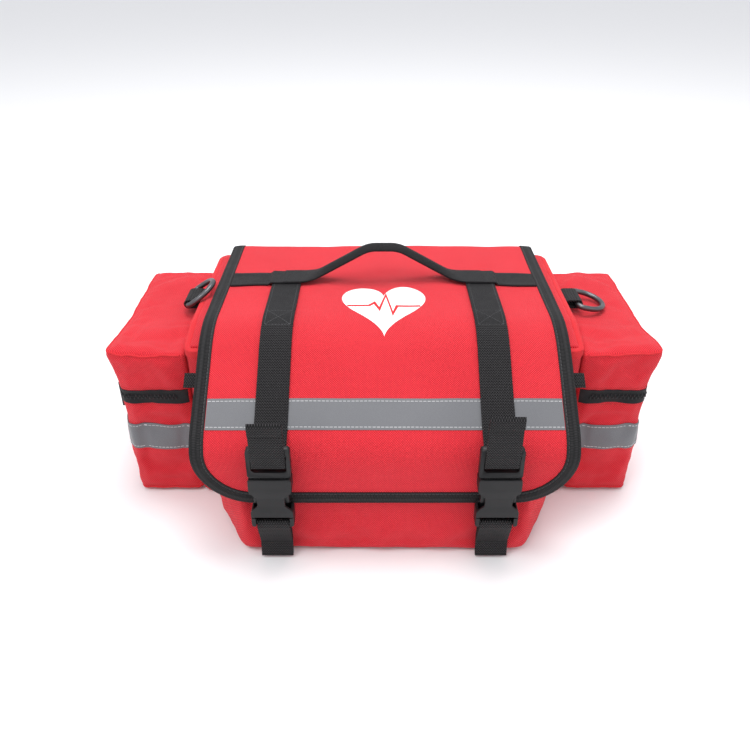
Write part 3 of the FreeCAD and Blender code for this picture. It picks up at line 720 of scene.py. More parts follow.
def makeClosureStrap(side):
    tailTop = closure["tail"][side]
    middle = sum(c.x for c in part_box(f"{side}_closure_strap")) / 2
    plugLow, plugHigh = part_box(f"{side}_buckle_plug")
    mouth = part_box(f"{side}_buckle_socket")[1].z
    barY = (plugLow.y + plugHigh.y) / 2
    barLow, barHigh = mouth + buckle["barRise"], mouth + buckle["barRise"] + buckle["barTall"]
    wrapOut = buckle["gap"] + web["thick"]
    start = flapReach(closure["start"])
    leave = bandEnd - band["wide"] * closure["leaveShare"]
    route = []
    for n in range(closure["steps"] + 1):
        along = start + (leave - start) * n / closure["steps"]
        place, ahead = onLine(flapLine, along)
        out = ahead.cross(Vector((1, 0, 0))).normalized()
        route.append(place + out * (flapSwell(middle, along) + web["lift"]))
    back, front = barY + buckle["barHalf"] + wrapOut, barY - buckle["barHalf"] - wrapOut
    tail = barY - buckle["topHalf"] - wrapOut
    fold = tail - 0.2 * mm
    loop = roundedLine([route[-1], (0, back, barHigh + 2.2 * mm), (0, back, barLow - wrapOut),
                        (0, front, barLow - wrapOut), (0, front, barHigh), (0, tail, barHigh + 6 * mm),
                        (0, tail - 0.8 * mm, tailTop), (0, fold - 0.8 * mm, tailTop + 0.05 * mm),
                        (0, fold - 0.4 * mm, tailTop - closure["hem"])], closure["corner"], steps=6)["points"]
    line = makeLine(route + loop[1:])
    strap = strapAlong(line, (1, 0, 0), (middle, 0, 0))
    finishPiece(strap, f"{side}_closure_webbing", "flap", blackWeb,
                [f"{side}_closure_strap"], 45)
    finishUpTo(strap, web["sewn"], smoothWeb)
    half = web["wide"] / 2 - web["row"]
    boxStart = web["sewn"] - web["box"]
    rows = stitchBox(0, boxStart, web["sewn"], half, web["thick"])
    for x in (-half, half):
        rows += stitchLine((x, closure["sewnFrom"]), (x, boxStart), pitch=web["stitch"], height=web["thick"])
    sewOn(f"{side}_strap_stitches", rows, lambda flat: moveTo(bend(flat, line, (1, 0, 0)), (middle, 0, 0)),
          "flap", blackThread)


def makeLowerStrap(side):
    low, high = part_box(f"{side}_lower_strap")
    middle = (low.x + high.x) / 2
    socketLow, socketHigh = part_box(f"{side}_buckle_socket")
    barY = (socketLow.y + socketHigh.y) / 2
    barTop = socketLow.z + buckle["lowBarTall"] + buckle["gap"]
    half = buckle["lowBarHalf"] + buckle["gap"]
    face = high.y - web["thick"]
    bendAt = lowerStrap["knee"]
    foot, knee = face - footBulge(low.z), face - footBulge(bendAt)
    line = roundedLine([(0, foot, low.z), (0, knee, bendAt), (0, barY + half, socketLow.z - 1 * mm),
                        (0, barY + half, barTop), (0, barY - half, barTop),
                        (0, barY - half, socketLow.z - 2 * mm),
                        (0, knee - 0.8 * mm, bendAt - 3 * mm), (0, foot - 0.2 * mm, low.z - 1 * mm)],
                       lowerStrap["corner"], steps=6)
    strap = strapAlong(line, (1, 0, 0), (middle, 0, 0))
    finishPiece(strap, f"{side}_lower_webbing", "bag", blackWeb, [f"{side}_lower_strap"], 45)


def swapUv(piece):  # the weave follows the other way of the strip
    for item in piece.data.uv_layers["cloth"].data:
        item.uv = (item.uv[1], item.uv[0])
    return piece


handle = {"overlap": 2 * mm, "gap": 0.25 * mm, "climbFrom": 4 * mm, "climbOver": 3.2 * mm, "clear": 0.2 * mm,
          "below": 4.6 * mm, "flatHalf": 13 * mm, "corner": 26 * mm, "narrowFrom": 0.86, "narrowOver": 0.34,
          "narrow": 0.42, "crown": 1.2 * mm, "curl": 3.4 * mm, "blend": (1.5 * mm, 9 * mm)}


def makeHandle():
    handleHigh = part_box("carry_handle")[1]
    anchorLow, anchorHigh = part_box("handle_anchors")
    middleY = (anchorLow.y + anchorHigh.y) / 2
    along = flapReach(middleY)
    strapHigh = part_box("right_closure_strap")[1]
    inner = handleHigh.x - handle["overlap"]
    gap = handle["gap"]
    for side, sign in sides.items():
        long = anchorHigh.x - inner
        strip = flatPiece("anchor", long, web["wide"], 44, 10, start=along - web["wide"] / 2,
                          middle=sign * (inner + long / 2))
        swapUv(strip)
        modify(strip, "SOLIDIFY", thickness=web["thick"], offset=1)
        softEdges(strip)
        rise = web["lift"] + web["thick"] + handle["clear"]
        for vertex in strip.data.vertices:  # up and over the strap's edge
            slope = easeIn((strapHigh.x + handle["climbFrom"] - abs(vertex.co.x)) / handle["climbOver"])
            vertex.co.z += gap + (rise - gap) * slope
        onFlap(strip)
        finishPiece(strip, f"{side}_handle_anchor_web", "flap", smoothWeb,
                    ["handle_anchors"] if side == "left" else (), 45)
        rows = []
        for row in (-1, 1):
            y = along + row * (web["wide"] / 2 - web["row"])
            ends = [(sign * (strapHigh.x + 6 * mm), y), (sign * (anchorHigh.x - 2 * mm), y)]
            rows += stitchLine(*ends, pitch=web["stitch"], height=web["thick"] + 0.35 * mm)
        sewOn(f"{side}_anchor_stitches", rows, onFlap, "flap", blackThread)
    top = flapHigh.z + flapSwell(inner, along) + web["lift"] + web["thick"] + gap
    peak = handleHigh.z - handle["below"]
    rightHalf = [(handle["flatHalf"], 0, peak), (inner - 12 * mm, 0, top + 3 * mm),
                 (inner - 3 * mm, 0, top + 0.3 * mm), (inner + 16 * mm, 0, top)]
    leftHalf = [(-x, y, z) for x, y, z in reversed(rightHalf)]
    route = roundedLine(leftHalf + rightHalf, handle["corner"], steps=12)
    grip = flatPiece("grip", web["wide"], route["total"], 16, 120)
    modify(grip, "SOLIDIFY", thickness=web["thick"], offset=1)
    softEdges(grip)
    whole = route["total"]
    for vertex in grip.data.vertices:
        share = abs(vertex.co.y / whole - 0.5) * 2
        narrow = easeIn((handle["narrowFrom"] - share) / handle["narrowOver"])
        edge = vertex.co.x / (web["wide"] / 2)
        vertex.co.x *= 1 - handle["narrow"] * narrow
        vertex.co.z += narrow * (handle["crown"] - handle["curl"] * edge * edge)
    bend(grip, route, (0, 1, 0))
    moveTo(grip, (0, middleY, 0))
    finishPiece(grip, "carry_handle_web", None, smoothWeb, ["carry_handle"], 50)
    grip.parent = None
    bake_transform(grip)


def mirrored(piece, name):
    copy = piece.copy()
    copy.data = piece.data.copy()
    copy.name = name
    bpy.context.collection.objects.link(copy)
    copy.data.transform(Matrix.Scale(-1, 4, (1, 0, 0)))
    copy.data.flip_normals()
    return copy


ringTab = {"barIn": 4.15 * mm, "barHeight": 146 * mm, "barHalf": 2.65 * mm,
           "ease": 0.1 * mm, "below": 0.5 * mm}


def makeRingTabs():
    low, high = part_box("right_ring_tab")
    middleY = (low.y + high.y) / 2
    barX, barZ = high.x - ringTab["barIn"], ringTab["barHeight"]
    loop = ringTab["barHalf"] + web["thick"] / 2
    near = low.x + web["thick"] / 2 + ringTab["ease"]
    back = near + web["thick"] + ringTab["ease"]
    foot = low.z - ringTab["below"]
    line = roundedLine([(near, 0, foot), (near, 0, barZ + loop), (barX + loop, 0, barZ + loop),
                        (barX + loop, 0, barZ - loop), (back, 0, barZ - loop + 0.6 * mm),
                        (back, 0, foot)], loop, steps=8)
    tab = strapAlong(line, (0, 1, 0), (0, middleY, 0), steps=44, side=0)
    other = mirrored(tab, "left_tab")
    finishPiece(tab, "right_ring_webbing", "bag", blackWeb, ["right_ring_tab"], 45)
    finishPiece(other, "left_ring_webbing", "bag", blackWeb, ["left_ring_tab"], 45)


for side in sides:
    makeClosureStrap(side)
for side in sides:
    makeLowerStrap(side)
makeHandle()
makeRingTabs()
print("webbing made")


# the pockets: cloth over stuffing

def tubeAlong(name, points, radius, closed=True):
    data = bpy.data.curves.new(name, "CURVE")
    data.dimensions = "3D"
    data.bevel_depth = radius
    data.bevel_resolution = 3
    data.use_fill_caps = not closed
    spline = data.splines.new("POLY")
    if closed and (points[0] - points[-1]).length < 1e-6:
        points = points[:-1]
    spline.points.add(len(points) - 1)
    for slot, place in zip(spline.points, points):
        slot.co = (*place, 1)
    spline.use_cyclic_u = closed
    piece = bpy.data.objects.new(name, data)
    bpy.context.collection.objects.link(piece)
    pickUp(piece)
    bpy.ops.object.convert(target="MESH")
    piece = bpy.context.object
    piece.data.uv_layers.new(name="cloth")
    return boxUv(piece)


def stuff(piece, held, recipe):  # swell the cloth between its seams, then limit how far it went
    rest = [v.co.copy() for v in piece.data.vertices]
    group = piece.vertex_groups.new(name="seams")
    group.add(held, 1.0, "REPLACE")
    pickUp(piece)
    cloth = piece.modifiers.new("stuffing", "CLOTH")
    settings = cloth.settings
    settings.quality = 6
    settings.mass = 0.25
    settings.tension_stiffness = settings.compression_stiffness = 18
    settings.bending_stiffness = recipe["stiff"]
    settings.shrink_min = -recipe["slack"]
    settings.use_pressure = True
    settings.uniform_pressure_force = recipe["pressure"]
    settings.vertex_group_mass = "seams"
    settings.effector_weights.gravity = 0
    cloth.point_cache.frame_end = recipe["frames"]
    for step in range(1, recipe["frames"] + 1):
        bpy.context.scene.frame_set(step)
    bpy.ops.object.modifier_apply(modifier=cloth.name)
    bpy.context.scene.frame_set(1)
    for vertex, place in zip(piece.data.vertices, rest):
        moved = vertex.co - place
        if moved.length > recipe["cap"]:
            vertex.co = place + moved.normalized() * recipe["cap"]
    piece.vertex_groups.clear()
    return piece


def remesh(piece, size):
    pickUp(piece)
    piece.data.remesh_voxel_size = size
    bpy.ops.object.voxel_remesh()
    return piece


def finePuckers(piece, depth, scale, near=None):  # small creases, deeper beside a seam
    piece.data.update()
    normals = [v.normal.copy() for v in piece.data.vertices]
    for vertex, normal in zip(piece.data.vertices, normals):
        share = near(vertex.co) if near else 1
        ripple = noise.noise(Vector(vertex.co) * scale) + 0.5 * noise.noise(Vector(vertex.co) * scale * 2.3)
        vertex.co += normal * depth * share * ripple
    return piece


pocket = {"inset": 1.2 * mm, "bevel": 4 * mm, "voxel": 4 * mm, "seam": 4.5 * mm, "zip": 100.25 * mm,
          "pullClear": 220.6 * mm, "pullLow": 74 * mm, "pullHigh": 104 * mm,
          "ringTo": 199 * mm, "ringHalf": 24 * mm, "ringClear": 137.2 * mm,
          "lean": 7.5 * mm, "ear": 5.5 * mm, "earFrom": 28 * mm, "earOver": 55 * mm,
          "crease": (1.3 * mm, 24), "grain": (0.5 * mm, 70), "zipHalf": 5.5 * mm, "calmOver": 14 * mm,
          "leanOver": 34 * mm, "ringSlope": 0.16,
          "seamTube": 0.95 * mm, "seamLift": 0.15 * mm, "seamSteps": 160,
          "stuffing": {"stiff": 0.1, "slack": 0.045, "pressure": 4.5, "frames": 20, "cap": 7 * mm}}


def pocketFaces(side, sign):  # its corners, and where its inner and outer faces stand
    low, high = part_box(f"{side}_side_pocket")
    return (low, high, low.x, high.x) if sign > 0 else (low, high, high.x, low.x)


def earRise(y):  # the front of the top stands up
    return pocket["ear"] * easeIn((-y - pocket["earFrom"]) / pocket["earOver"])


def makeSidePocket(side, sign):
    low, high, inner, outer = pocketFaces(side, sign)
    inset = pocket["inset"]
    outer -= sign * inset
    lows = Vector((min(inner, outer), low.y + inset, low.z + 0.8 * mm))
    highs = Vector((max(inner, outer), high.y - inset, high.z - inset * 0.6))
    cloth = flatBar("pocket", highs - lows, (highs + lows) / 2, bevel=pocket["bevel"], segments=2)
    remesh(cloth, pocket["voxel"])
    held = []
    for vertex in cloth.data.vertices:
        place = vertex.co
        edges = [abs(place.y - lows.y), abs(place.y - highs.y), abs(place.z - lows.z),
                 abs(place.z - highs.z), abs(place.x - outer)]
        onSeam = sum(e < pocket["seam"] * 1.3 for e in edges) >= 2 or place.z < lows.z + 2 * mm
        onZip = abs(place.z - pocket["zip"]) < pocket["zipHalf"]
        if onSeam or onZip or abs(place.x - inner) < pocket["seam"]:
            held.append(vertex.index)
    stuff(cloth, held, pocket["stuffing"])
    finePuckers(cloth, *pocket["crease"],
                near=lambda place: easeIn(abs(place.z - pocket["zip"]) / pocket["calmOver"]))
    for vertex in cloth.data.vertices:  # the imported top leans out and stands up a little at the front
        place = vertex.co
        above = easeIn((place.z - pocket["pullHigh"]) / pocket["leanOver"])
        reach = (sign * place.x - abs(inner)) / abs(outer - inner)
        place.x += sign * pocket["lean"] * above * reach
        place.z += earRise(place.y) * above * (0.4 + 0.6 * reach)
    for vertex in cloth.data.vertices:  # clear of the ground, the wall, the zip pull and the ring
        place = vertex.co
        place.z = max(place.z, 0.3 * mm)
        if (place.x - inner) * sign < 0.3 * mm:
            place.x = inner + sign * 0.3 * mm
        if pocket["pullLow"] < place.z < pocket["pullHigh"]:
            place.x = sign * min(sign * place.x, pocket["pullClear"])
        outside = math.hypot(max(0, sign * place.x - pocket["ringTo"]),
                             max(0, abs(place.y) - pocket["ringHalf"]))
        place.z = min(place.z, pocket["ringClear"] + outside * pocket["ringSlope"])
    modify(cloth, "SUBSURF", levels=1, render_levels=1)
    finePuckers(cloth, *pocket["grain"])
    boxUv(cloth)
    finishPiece(cloth, f"{side}_pocket_cloth", "bag", redCloth,
                [f"{side}_side_pocket"], shade=80)
    return cloth


def ringLine(side, sign, height, grow):  # round the pocket's three outer faces
    low, high, inner, outer = pocketFaces(side, sign)
    outer += sign * grow
    corners = [(inner, low.y - grow, height), (outer, low.y - grow, height),
               (outer, high.y + grow, height), (inner, high.y + grow, height)]
    return roundedLine(corners if sign > 0 else corners[::-1], 13 * mm, steps=10)


def pressOnto(piece, line, across, cloth, lift):  # flat z stays the height off the cloth
    heights = [v.co.z for v in piece.data.vertices]
    for vertex in piece.data.vertices:
        vertex.co.z = 0
    bend(piece, line, across)
    tree = treeOf(cloth)
    for vertex, height in zip(piece.data.vertices, heights):
        place, normal, _, _ = tree.find_nearest(vertex.co)
        vertex.co = place + normal * (lift + height)
    piece.data.update()
    return piece


zipper = {"tape": 12.5 * mm, "thick": 0.5 * mm, "pitch": 1.55 * mm, "stagger": 0.95 * mm,
          "tooth": (2.5 * mm, 0.85 * mm, 1.1 * mm), "teethRise": 0.45 * mm}


def makeTooth():
    tooth = flatBar("tooth", zipper["tooth"], (0, 0, zipper["thick"] + zipper["teethRise"]))
    return modify(tooth, "BEVEL", width=0.28 * mm, segments=1, limit_method="NONE")


tooth = makeTooth()


def teethPlaces(start, end):
    count = int((end - start) / zipper["pitch"])
    aside, pitch = zipper["stagger"], zipper["pitch"]
    return [Matrix.Translation((aside if n % 2 else -aside, start + (n + 0.5) * pitch, 0)) for n in range(count)]


def layTape(wide, thick, counts, line, across, cloth, lift):
    tape = flatPiece("tape", wide, line["total"], *counts)
    modify(tape, "SOLIDIFY", thickness=thick, offset=1)
    return pressOnto(tape, line, across, cloth, lift)


def makeZip(name, node, line, across, cloth, counts, lift, margin):
    tape = layTape(zipper["tape"], zipper["thick"], counts, line, across, cloth, lift)
    finishPiece(tape, f"{name}_zip_tape", "bag", zipTape, [node])
    teeth = repeated("teeth", tooth, teethPlaces(margin, line["total"] - margin))
    pressOnto(teeth, line, across, cloth, lift)
    finishPiece(teeth, f"{name}_zip_teeth", "bag", zipNylon)


def pairOfRows(reach, line, **values):  # one row of stitches each side of a tape's middle
    ends = (2 * mm, line["total"] - 2 * mm)
    return [place for x in (-reach, reach) for place in stitchLine((x, ends[0]), (x, ends[1]), **values)]


def makePocketTrim(side, sign, cloth):
    up = (0, 0, 1)
    line = ringLine(side, sign, pocket["zip"], 1 * mm)
    makeZip(side, f"{side}_pocket_zip", line, up, cloth, (8, 110), 0.15 * mm, 10 * mm)
    low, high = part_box(f"{side}_pocket_band")
    wide = high.z - low.z
    bandLine = ringLine(side, sign, (low.z + high.z) / 2, 1 * mm)
    strip = layTape(wide, band["thick"], (10, 110), bandLine, up, cloth, 0.3 * mm)
    finishPiece(strip, f"{side}_reflective_band", "bag", silverTape,
                [f"{side}_pocket_band"])
    sewOn(f"{side}_band_stitches", pairOfRows(wide / 2 - band["row"], bandLine, height=band["thick"]),
          lambda flat: pressOnto(flat, bandLine, up, cloth, 0.3 * mm), "bag", paleThread)
    rows = pairOfRows(zipper["tape"] / 2 + 2.2 * mm, line, height=0.1 * mm, thick=0.45 * mm)
    sewOn(f"{side}_zip_stitches", rows, lambda flat: pressOnto(flat, line, up, cloth, 0.05 * mm),
          "bag", redThread)


def makePocketSeams(side, sign, cloth):  # the raised seams where the top and the floor are sewn in
    low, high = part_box(f"{side}_side_pocket")
    tree = treeOf(cloth)
    for name, height in (("top", high.z - 1.2 * mm), ("foot", low.z + 3 * mm)):
        line = ringLine(side, sign, height, pocket["lean"] * 0.8 if name == "top" else 0)
        points = []
        for n in range(pocket["seamSteps"] + 1):
            place, _ = onLine(line, line["total"] * (0.012 + 0.976 * n / pocket["seamSteps"]))
            if name == "top":
                place.z += earRise(place.y)
            near, normal, _, _ = tree.find_nearest(place)
            points.append(near + normal * pocket["seamLift"])
        seam = tubeAlong(f"{side}_{name}_seam", points, pocket["seamTube"], closed=False)
        finishPiece(seam, f"{side}_pocket_{name}_seam", "bag", redLining)


for side, sign in sides.items():
    pocketCloth = makeSidePocket(side, sign)
    makePocketTrim(side, sign, pocketCloth)
    makePocketSeams(side, sign, pocketCloth)
print("side pockets made")


def makeFrontPocket():
    low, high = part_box("front_pocket")
    inset = frontPocket["inset"]
    base, seam = frontPocket["floor"], frontPocket["seam"]
    size = Vector((high.x - low.x - 2 * inset, high.y - low.y - inset, high.z - inset - base))
    centre = Vector((0, (high.y + low.y + inset) / 2, (high.z - inset + base) / 2))
    cloth = flatBar("front", size, centre)
    noseHalf, noseTop = frontPocket["noseWidth"] / 2 - inset, frontPocket["noseHeight"] - inset
    for vertex in cloth.data.vertices:
        place = vertex.co
        if place.y < centre.y:
            upper = place.z > centre.z
            place.x = math.copysign(noseHalf if upper else noseHalf - frontPocket["foot"], place.x)
            place.z = noseTop if upper else place.z
    modify(cloth, "BEVEL", width=frontPocket["edge"], segments=3)
    remesh(cloth, frontPocket["voxel"])
    noseY = low.y + inset
    zipY = sum(c.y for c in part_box("front_pocket_zip")) / 2
    held = []
    for vertex in cloth.data.vertices:
        place = vertex.co
        share = (high.y - place.y) / (high.y - noseY)
        half = size.x / 2 + (noseHalf - size.x / 2) * share
        top = high.z - inset + (noseTop - high.z + inset) * share
        edges = [abs(abs(place.x) - half), abs(place.y - noseY), abs(place.z - top), abs(place.z - base)]
        onSeam = sum(e < seam for e in edges) >= 2 or high.y - place.y < 4 * mm or place.z < 2.5 * mm
        onZip = abs(place.y - zipY) < frontPocket["zipHalf"] and place.z > top - seam
        if onSeam or onZip:
            held.append(vertex.index)
    stuff(cloth, held, frontPocket["stuffing"])
    beyondZip = high.y - frontPocket["underFlap"]
    finePuckers(cloth, *frontPocket["crease"],
                near=lambda place: easeIn((beyondZip - place.y) / frontPocket["calmOver"]))
    for vertex in cloth.data.vertices:  # clear of the flap and the ground, and full at the foot
        place = vertex.co
        place.z = max(place.z, 0.3 * mm)
        place.y = min(max(place.y, low.y - 0.3 * mm), high.y - 0.3 * mm)
        place.y -= footBulge(place.z) * (high.y - place.y) / (high.y - low.y)
    modify(cloth, "SUBSURF", levels=1, render_levels=1)
    finePuckers(cloth, *frontPocket["grain"])
    boxUv(cloth)
    finishPiece(cloth, "front_pocket_cloth", "bag", redCloth, ["front_pocket"], shade=80)
    return cloth


def makeFrontZip(cloth):
    low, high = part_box("front_pocket_zip")
    line = makeLine([Vector((x, (low.y + high.y) / 2, (low.z + high.z) / 2)) for x in (low.x, high.x)])
    upSlope = (0, 0.832, 0.555)
    makeZip("front", "front_pocket_zip", line, upSlope, cloth, (8, 90), 0.2 * mm, 4 * mm)


frontCloth = makeFrontPocket()
makeFrontZip(frontCloth)
print("front pocket made")


# the main compartment: walls, floor, rim, storm lips, seam tape

bag = {"wall": 4 * mm, "corner": 7 * mm, "foot": 3.2 * mm, "slack": 0.8 * mm, "slopeDeep": 32 * mm,
       "slopeBack": 10 * mm, "rimThick": 0.8 * mm, "rimDrop": 6.5 * mm, "rimSteps": 260,
       "piping": 1.3 * mm, "pipingHigh": 4.2 * mm, "floorEdge": 1.1 * mm}
lip = {"thick": 3 * mm, "edge": 1.2 * mm, "above": 2 * mm, "steps": 60, "grain": (0.5 * mm, 60)}
seamTape = {"thick": 1 * mm, "edge": 0.3 * mm, "off": 0.2 * mm, "above": 1 * mm, "stitchHigh": 0.55 * mm}
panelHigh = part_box("back_panel")[1]
frontPanelLow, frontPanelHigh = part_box("front_panel")
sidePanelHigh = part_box("right_side_panel")[1]


def rimAt(y):  # how high the rim stands at each depth
    front = frontPanelLow.y + bag["wall"]
    slope = front + bag["slopeDeep"]
    if y < slope:
        share = max(0, (y - front) / (slope - front))
        return frontPanelHigh.z + (sidePanelHigh.z - frontPanelHigh.z) * share
    back = panelHigh.y - bag["wall"]
    share = min(1, max(0, (y - back + bag["slopeBack"]) / bag["slopeBack"]))
    return sidePanelHigh.z + (panelHigh.z - sidePanelHigh.z) * share


def wallRoute(inset, height=0.0):
    half, back, front = panelHigh.x - inset, panelHigh.y - inset, frontPanelLow.y + inset
    corners = [(half, front, height), (half, back, height), (-half, back, height), (-half, front, height)]
    return roundedLine(corners, max(bag["corner"] - inset, 2 * mm), steps=6, closed=True)


def makeWalls():
    route = wallRoute(0)
    base = bag["foot"]
    tall = sidePanelHigh.z - base
    walls = flatPiece("walls", tall, route["total"], 24, 190, middle=base + tall / 2)
    modify(walls, "SOLIDIFY", thickness=bag["wall"], offset=-1)
    for vertex in walls.data.vertices:
        place, ahead = onLine(route, vertex.co.y)
        out = ahead.cross(Vector((0, 0, 1))).normalized()
        share = (vertex.co.x - base) / tall
        height = base + (rimAt(place.y) - base) * share
        sag = bag["slack"] * math.sin(math.pi * share) * noise.noise(Vector((vertex.co.y * 18, share * 3, 1)))
        vertex.co = place + out * (vertex.co.z - abs(sag)) + Vector((0, 0, height))
    tidyNormals(walls)
    finishPiece(walls, "compartment_walls", "bag", redCloth,
                ["back_panel", "front_panel", "left_side_panel", "right_side_panel"], shade=50)
    low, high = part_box("bottom_panel")
    floorPad = flatBar("floor", high - low - Vector((0.6 * mm, 0.6 * mm, 0.2 * mm)), (high + low) / 2)
    weights = floorPad.data.attributes.new("bevel_weight_edge", "FLOAT", "EDGE")
    for edge in floorPad.data.edges:
        ends = [floorPad.data.vertices[v].co for v in edge.vertices]
        weights.data[edge.index].value = float(abs(ends[0].z - ends[1].z) > 1 * mm)
    modify(floorPad, "BEVEL", width=bag["corner"], segments=6, limit_method="WEIGHT")
    modify(floorPad, "BEVEL", width=bag["floorEdge"], segments=3, limit_method="ANGLE",
           angle_limit=math.radians(60))
    boxUv(floorPad)
    finishPiece(floorPad, "floor_cloth", "bag", redCloth, ["bottom_panel"])
    piping = tubeAlong("foot_piping", wallRoute(-0.4 * mm, bag["pipingHigh"])["points"], bag["piping"])
    finishPiece(piping, "foot_piping", "bag", redLining)


def makeRim():
    route = wallRoute(bag["wall"] / 2)
    thick, drop, half = bag["rimThick"], bag["rimDrop"], bag["wall"] / 2
    profile = [(half, -drop), (half + thick, -drop + 0.3 * mm), (half + thick, 0),
               (half * 0.6, thick * 1.2), (-half * 0.6, thick * 1.2),
               (-half - thick, 0), (-half - thick, -drop + 0.3 * mm), (-half, -drop),
               (-half, -0.1 * mm), (half, -0.1 * mm)]
    lengths = [route["total"] * n / bag["rimSteps"] for n in range(bag["rimSteps"] + 1)]
    rings = []
    for distance in lengths[:-1]:
        place, ahead = onLine(route, distance)
        out = ahead.cross(Vector((0, 0, 1))).normalized()
        top = Vector((place.x, place.y, rimAt(place.y)))
        rings.append([top + out * reach + Vector((0, 0, lift)) for reach, lift in profile])
    rim = sweptTape("rim_tape", rings, lengths, closed=True)
    finishPiece(rim, "rim_tape", "bag", redLining, ["rim_binding"], shade=50)


def makeLips():
    for side in sides:
        low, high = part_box(f"{side}_rim_lip")
        depths = [high.y + (low.y - high.y) * n / lip["steps"] for n in range(lip["steps"] + 1)]
        route = makeLine([Vector((0, y, rimAt(y) + lip["above"])) for y in depths])
        strip = flatPiece("lip", high.x - low.x, route["total"], 10, 70)
        modify(strip, "SOLIDIFY", thickness=lip["thick"], offset=-1)
        softEdges(strip, lip["edge"])
        bend(strip, route, (1, 0, 0))
        moveTo(strip, ((low.x + high.x) / 2, 0, 0))
        finePuckers(strip, *lip["grain"])
        finishPiece(strip, f"{side}_storm_lip", "bag", redCloth, [f"{side}_rim_lip"], 50)


def makeSeamTape():
    low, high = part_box("flap_seam_tape")
    long = high.x - low.x
    line = makeLine([Vector((0, high.y + seamTape["off"], z)) for z in (low.z, high.z + seamTape["above"])])
    tape = flatPiece("tape", long, line["total"], 80, 6)
    swapUv(tape)
    modify(tape, "SOLIDIFY", thickness=seamTape["thick"], offset=0)
    softEdges(tape, seamTape["edge"])
    bend(tape, line, (-1, 0, 0))
    finishPiece(tape, "flap_seam_web", "bag", blackTape, ["flap_seam_tape"])
    rows = []
    for along in (2 * mm, line["total"] - 2.6 * mm):
        rows += stitchLine((-long / 2, along), (long / 2, along), height=seamTape["stitchHigh"])
    sewOn("flap_seam_stitches", rows, lambda flat: bend(flat, line, (-1, 0, 0)),
          "bag", blackThread)


makeWalls()
makeRim()
makeLips()
makeSeamTape()
print("main compartment made")


# what is hard, or carried over: buckles, rings, zip sliders, board and dividers

def softenedCopy(nodeName, width, outline=0.0):
    source = frame["nodes"][nodeName]
    copy = source.copy()
    copy.data = source.data.copy()
    copy.parent = None
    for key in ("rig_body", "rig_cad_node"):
        if key in copy:
            del copy[key]
    bpy.context.collection.objects.link(copy)
    copy.hide_render = copy.hide_viewport = False
    pickUp(copy)
    bpy.ops.object.mode_set(mode="EDIT")
    bpy.ops.mesh.select_all(action="SELECT")
    bpy.ops.mesh.remove_doubles(threshold=0.01 * mm)
    bpy.ops.mesh.dissolve_limited(angle_limit=math.radians(2))
    bpy.ops.object.mode_set(mode="OBJECT")
    if outline:  # round the corners of the front outline first
        weights = copy.data.attributes.new("bevel_weight_edge", "FLOAT", "EDGE")
        middle = sum(c.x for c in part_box(nodeName)) / 2
        for edge in copy.data.edges:
            start, end = [copy.data.vertices[v].co for v in edge.vertices]
            through = abs(start.y - end.y) > 0.95 * (start - end).length > plugOutline["long"]
            weights.data[edge.index].value = float(through and abs(start.x - middle) > plugOutline["from"])
        modify(copy, "BEVEL", width=outline, segments=4, limit_method="WEIGHT")
    modify(copy, "BEVEL", width=width, segments=3, limit_method="ANGLE", angle_limit=math.radians(32))
    return boxUv(copy)


plugOutline = {"from": 9.2 * mm, "long": 4 * mm}
socketShape = {"edge": 1.2 * mm, "soft": 0.7 * mm, "waist": 10.2 * mm,
               "waistLow": 13 * mm, "waistHigh": 35 * mm, "slot": 6 * mm,
               "cavityHalf": 14 * mm, "cavityDeep": 6.6 * mm, "cavityFrom": 10 * mm}


def cutAway(piece, size, place):
    tool = flatBar("cutter", size, place)
    modify(piece, "BOOLEAN", object=tool, operation="DIFFERENCE", solver="EXACT")
    bpy.data.objects.remove(tool)


def makeSocket(side):
    low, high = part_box(f"{side}_buckle_socket")
    middle, barY = (low.x + high.x) / 2, (low.y + high.y) / 2
    half, tall, deep = (high.x - low.x) / 2, high.z - low.z, high.y - low.y
    shell = flatPiece("socket", 2, tall, 1, 60)
    sizes = socketShape
    for vertex in shell.data.vertices:
        up = vertex.co.y
        reach = half
        if sizes["waistLow"] < up < sizes["waistHigh"]:
            share = (up - sizes["waistLow"]) / (sizes["waistHigh"] - sizes["waistLow"])
            reach -= (half - sizes["waist"]) * min(1, 1.35 * math.sin(math.pi * share) ** 2)
        nearEnd = max(0, sizes["edge"] - min(up, tall - up))
        vertex.co.x = math.copysign(reach - nearEnd, vertex.co.x)
    modify(shell, "SOLIDIFY", thickness=deep, offset=0)
    for vertex in shell.data.vertices:
        flat = vertex.co.copy()
        vertex.co = Vector((middle + flat.x, barY - flat.z, low.z + flat.y))
    barTop = low.z + buckle["lowBarTall"]
    slotWide = web["wide"] + 2 * buckle["gap"]
    cutAway(shell, (slotWide, deep * 2, sizes["slot"]), (middle, barY, barTop + sizes["slot"] / 2))
    for way in (-1, 1):
        cutAway(shell, (slotWide, deep, buckle["lowBarTall"] + 2 * mm),
                (middle, barY + way * (buckle["lowBarHalf"] + deep / 2), barTop - buckle["lowBarTall"] / 2))
    inside = tall - sizes["cavityFrom"] + 2 * mm
    cutAway(shell, (2 * sizes["cavityHalf"], sizes["cavityDeep"], inside),
            (middle, barY, low.z + sizes["cavityFrom"] + inside / 2))
    tidyNormals(shell)
    modify(shell, "BEVEL", width=sizes["soft"], segments=3, limit_method="ANGLE", angle_limit=math.radians(40))
    boxUv(shell)
    finishPiece(shell, f"{side}_socket_shell", "bag", buckleBlack, [f"{side}_buckle_socket"])


def soften(nodeName, name, body, material, width, outline=0.0):
    return finishPiece(softenedCopy(nodeName, width, outline=outline), name, body, material, [nodeName])


divider = {"soft": 2.2 * mm, "capOver": 1.2 * mm, "capShort": 1 * mm, "capTall": 9 * mm, "capDrop": 3.9 * mm,
           "capEdge": 1.6 * mm}


